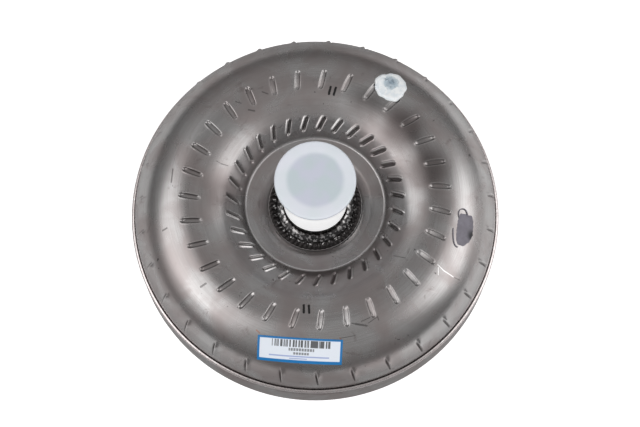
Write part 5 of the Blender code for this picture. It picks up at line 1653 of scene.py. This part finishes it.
# %% [markdown]
# Round it is a soft world: tall panels to the left and right, lower ones beside them, a dim roof, and a
# frontal lamp that only lights matt pieces. The panels are placed where their reflections should fall on
# the torus. A world made of soft patches does this with little noise; area lamps would have harder edges.
# The camera itself sees plain white beyond the floor.

# %% World and lamp

world = bpy.data.worlds.new("soft_panels")
bpy.context.scene.world = world
world.use_nodes = True
world.node_tree.nodes.clear()
w = Wires(world.node_tree)
toward = w.node("ShaderNodeTexCoord").outputs["Generated"]
up = w.node("ShaderNodeSeparateXYZ", {0: toward}).outputs[2]
light = w.ramp(up, 0.0, 0.75, 0.15, 0.38)
# Each panel: the direction of its middle, the cosines where it fades out and where it is full, strength.
panels = [
    ((-0.60, 0.0, 0.80), 0.868, 0.94, 1.12),
    ((-0.76, -0.28, 0.58), 0.90, 0.965, 0.55),
    ((0.71, 0.04, 0.70), 0.885, 0.955, 1.05),
    ((0.90, 0.12, 0.40), 0.84, 0.96, 0.55),
    ((-0.26, 0.24, 0.93), 0.955, 0.99, -0.20),
]
for direction, fade, full, strength in panels:
    facing = w.vector("DOT_PRODUCT", toward, tuple(Vector(direction).normalized()), out="Value")
    light = w.math("ADD", light, w.ramp(facing, fade, full, 0.0, strength))
sky = w.node("ShaderNodeBackground", {"Strength": 1.0})
glow = w.colour(w.math("MULTIPLY", light, 0.5), (0, 0, 0, 1), (2.0, 1.97, 1.96, 1))
seen = w.node("ShaderNodeLightPath").outputs["Is Camera Ray"]
w.tree.links.new(w.colour(seen, glow, grey(1.0)), sky.inputs["Color"])
w.tree.links.new(sky.outputs[0], w.node("ShaderNodeOutputWorld").inputs["Surface"])

lamp_data = bpy.data.lights.new("front_lamp", "AREA")
lamp_data.shape, lamp_data.size, lamp_data.size_y = "RECTANGLE", 1.2, 0.8
lamp_data.energy = 9.0
lamp = bpy.data.objects.new("front_lamp", lamp_data)
lamp.location = (0.0, -1.1, 1.1)
lamp.rotation_euler = (radians(45), 0, 0)
lamp.visible_glossy = False
bpy.context.scene.collection.objects.link(lamp)

# %% [markdown]
# The camera looks down steeply, at 73 degrees, from about a metre and a half, with a long lens, so the
# round object hardly tapers. Its aim is the middle of the closing weld. A small shift, as on a view
# camera, puts the object a little off the middle of the frame.

# %% Camera
aim = Vector((0.0, 0.0, 66.0 * MM))
distance = 1.6
tilt = radians(73)
camera_data = bpy.data.cameras.new("camera")
camera_data.sensor_width = 36.0
camera_data.lens = 110.1
camera_data.shift_x, camera_data.shift_y = 0.0075, -0.0011
camera_data.clip_start, camera_data.clip_end = 0.05, 20.0
camera = bpy.data.objects.new("camera", camera_data)
camera.location = aim + Vector((0.0, -cos(tilt), sin(tilt))) * distance
camera.rotation_euler = (radians(90) - tilt, 0.0, 0.0)
bpy.context.scene.collection.objects.link(camera)
bpy.context.scene.camera = camera
bpy.context.scene.view_settings.view_transform = "Standard"
bpy.context.scene.view_settings.look = "None"
print("camera at", [round(v, 4) for v in camera.location], "lens", round(camera_data.lens, 1), "mm")
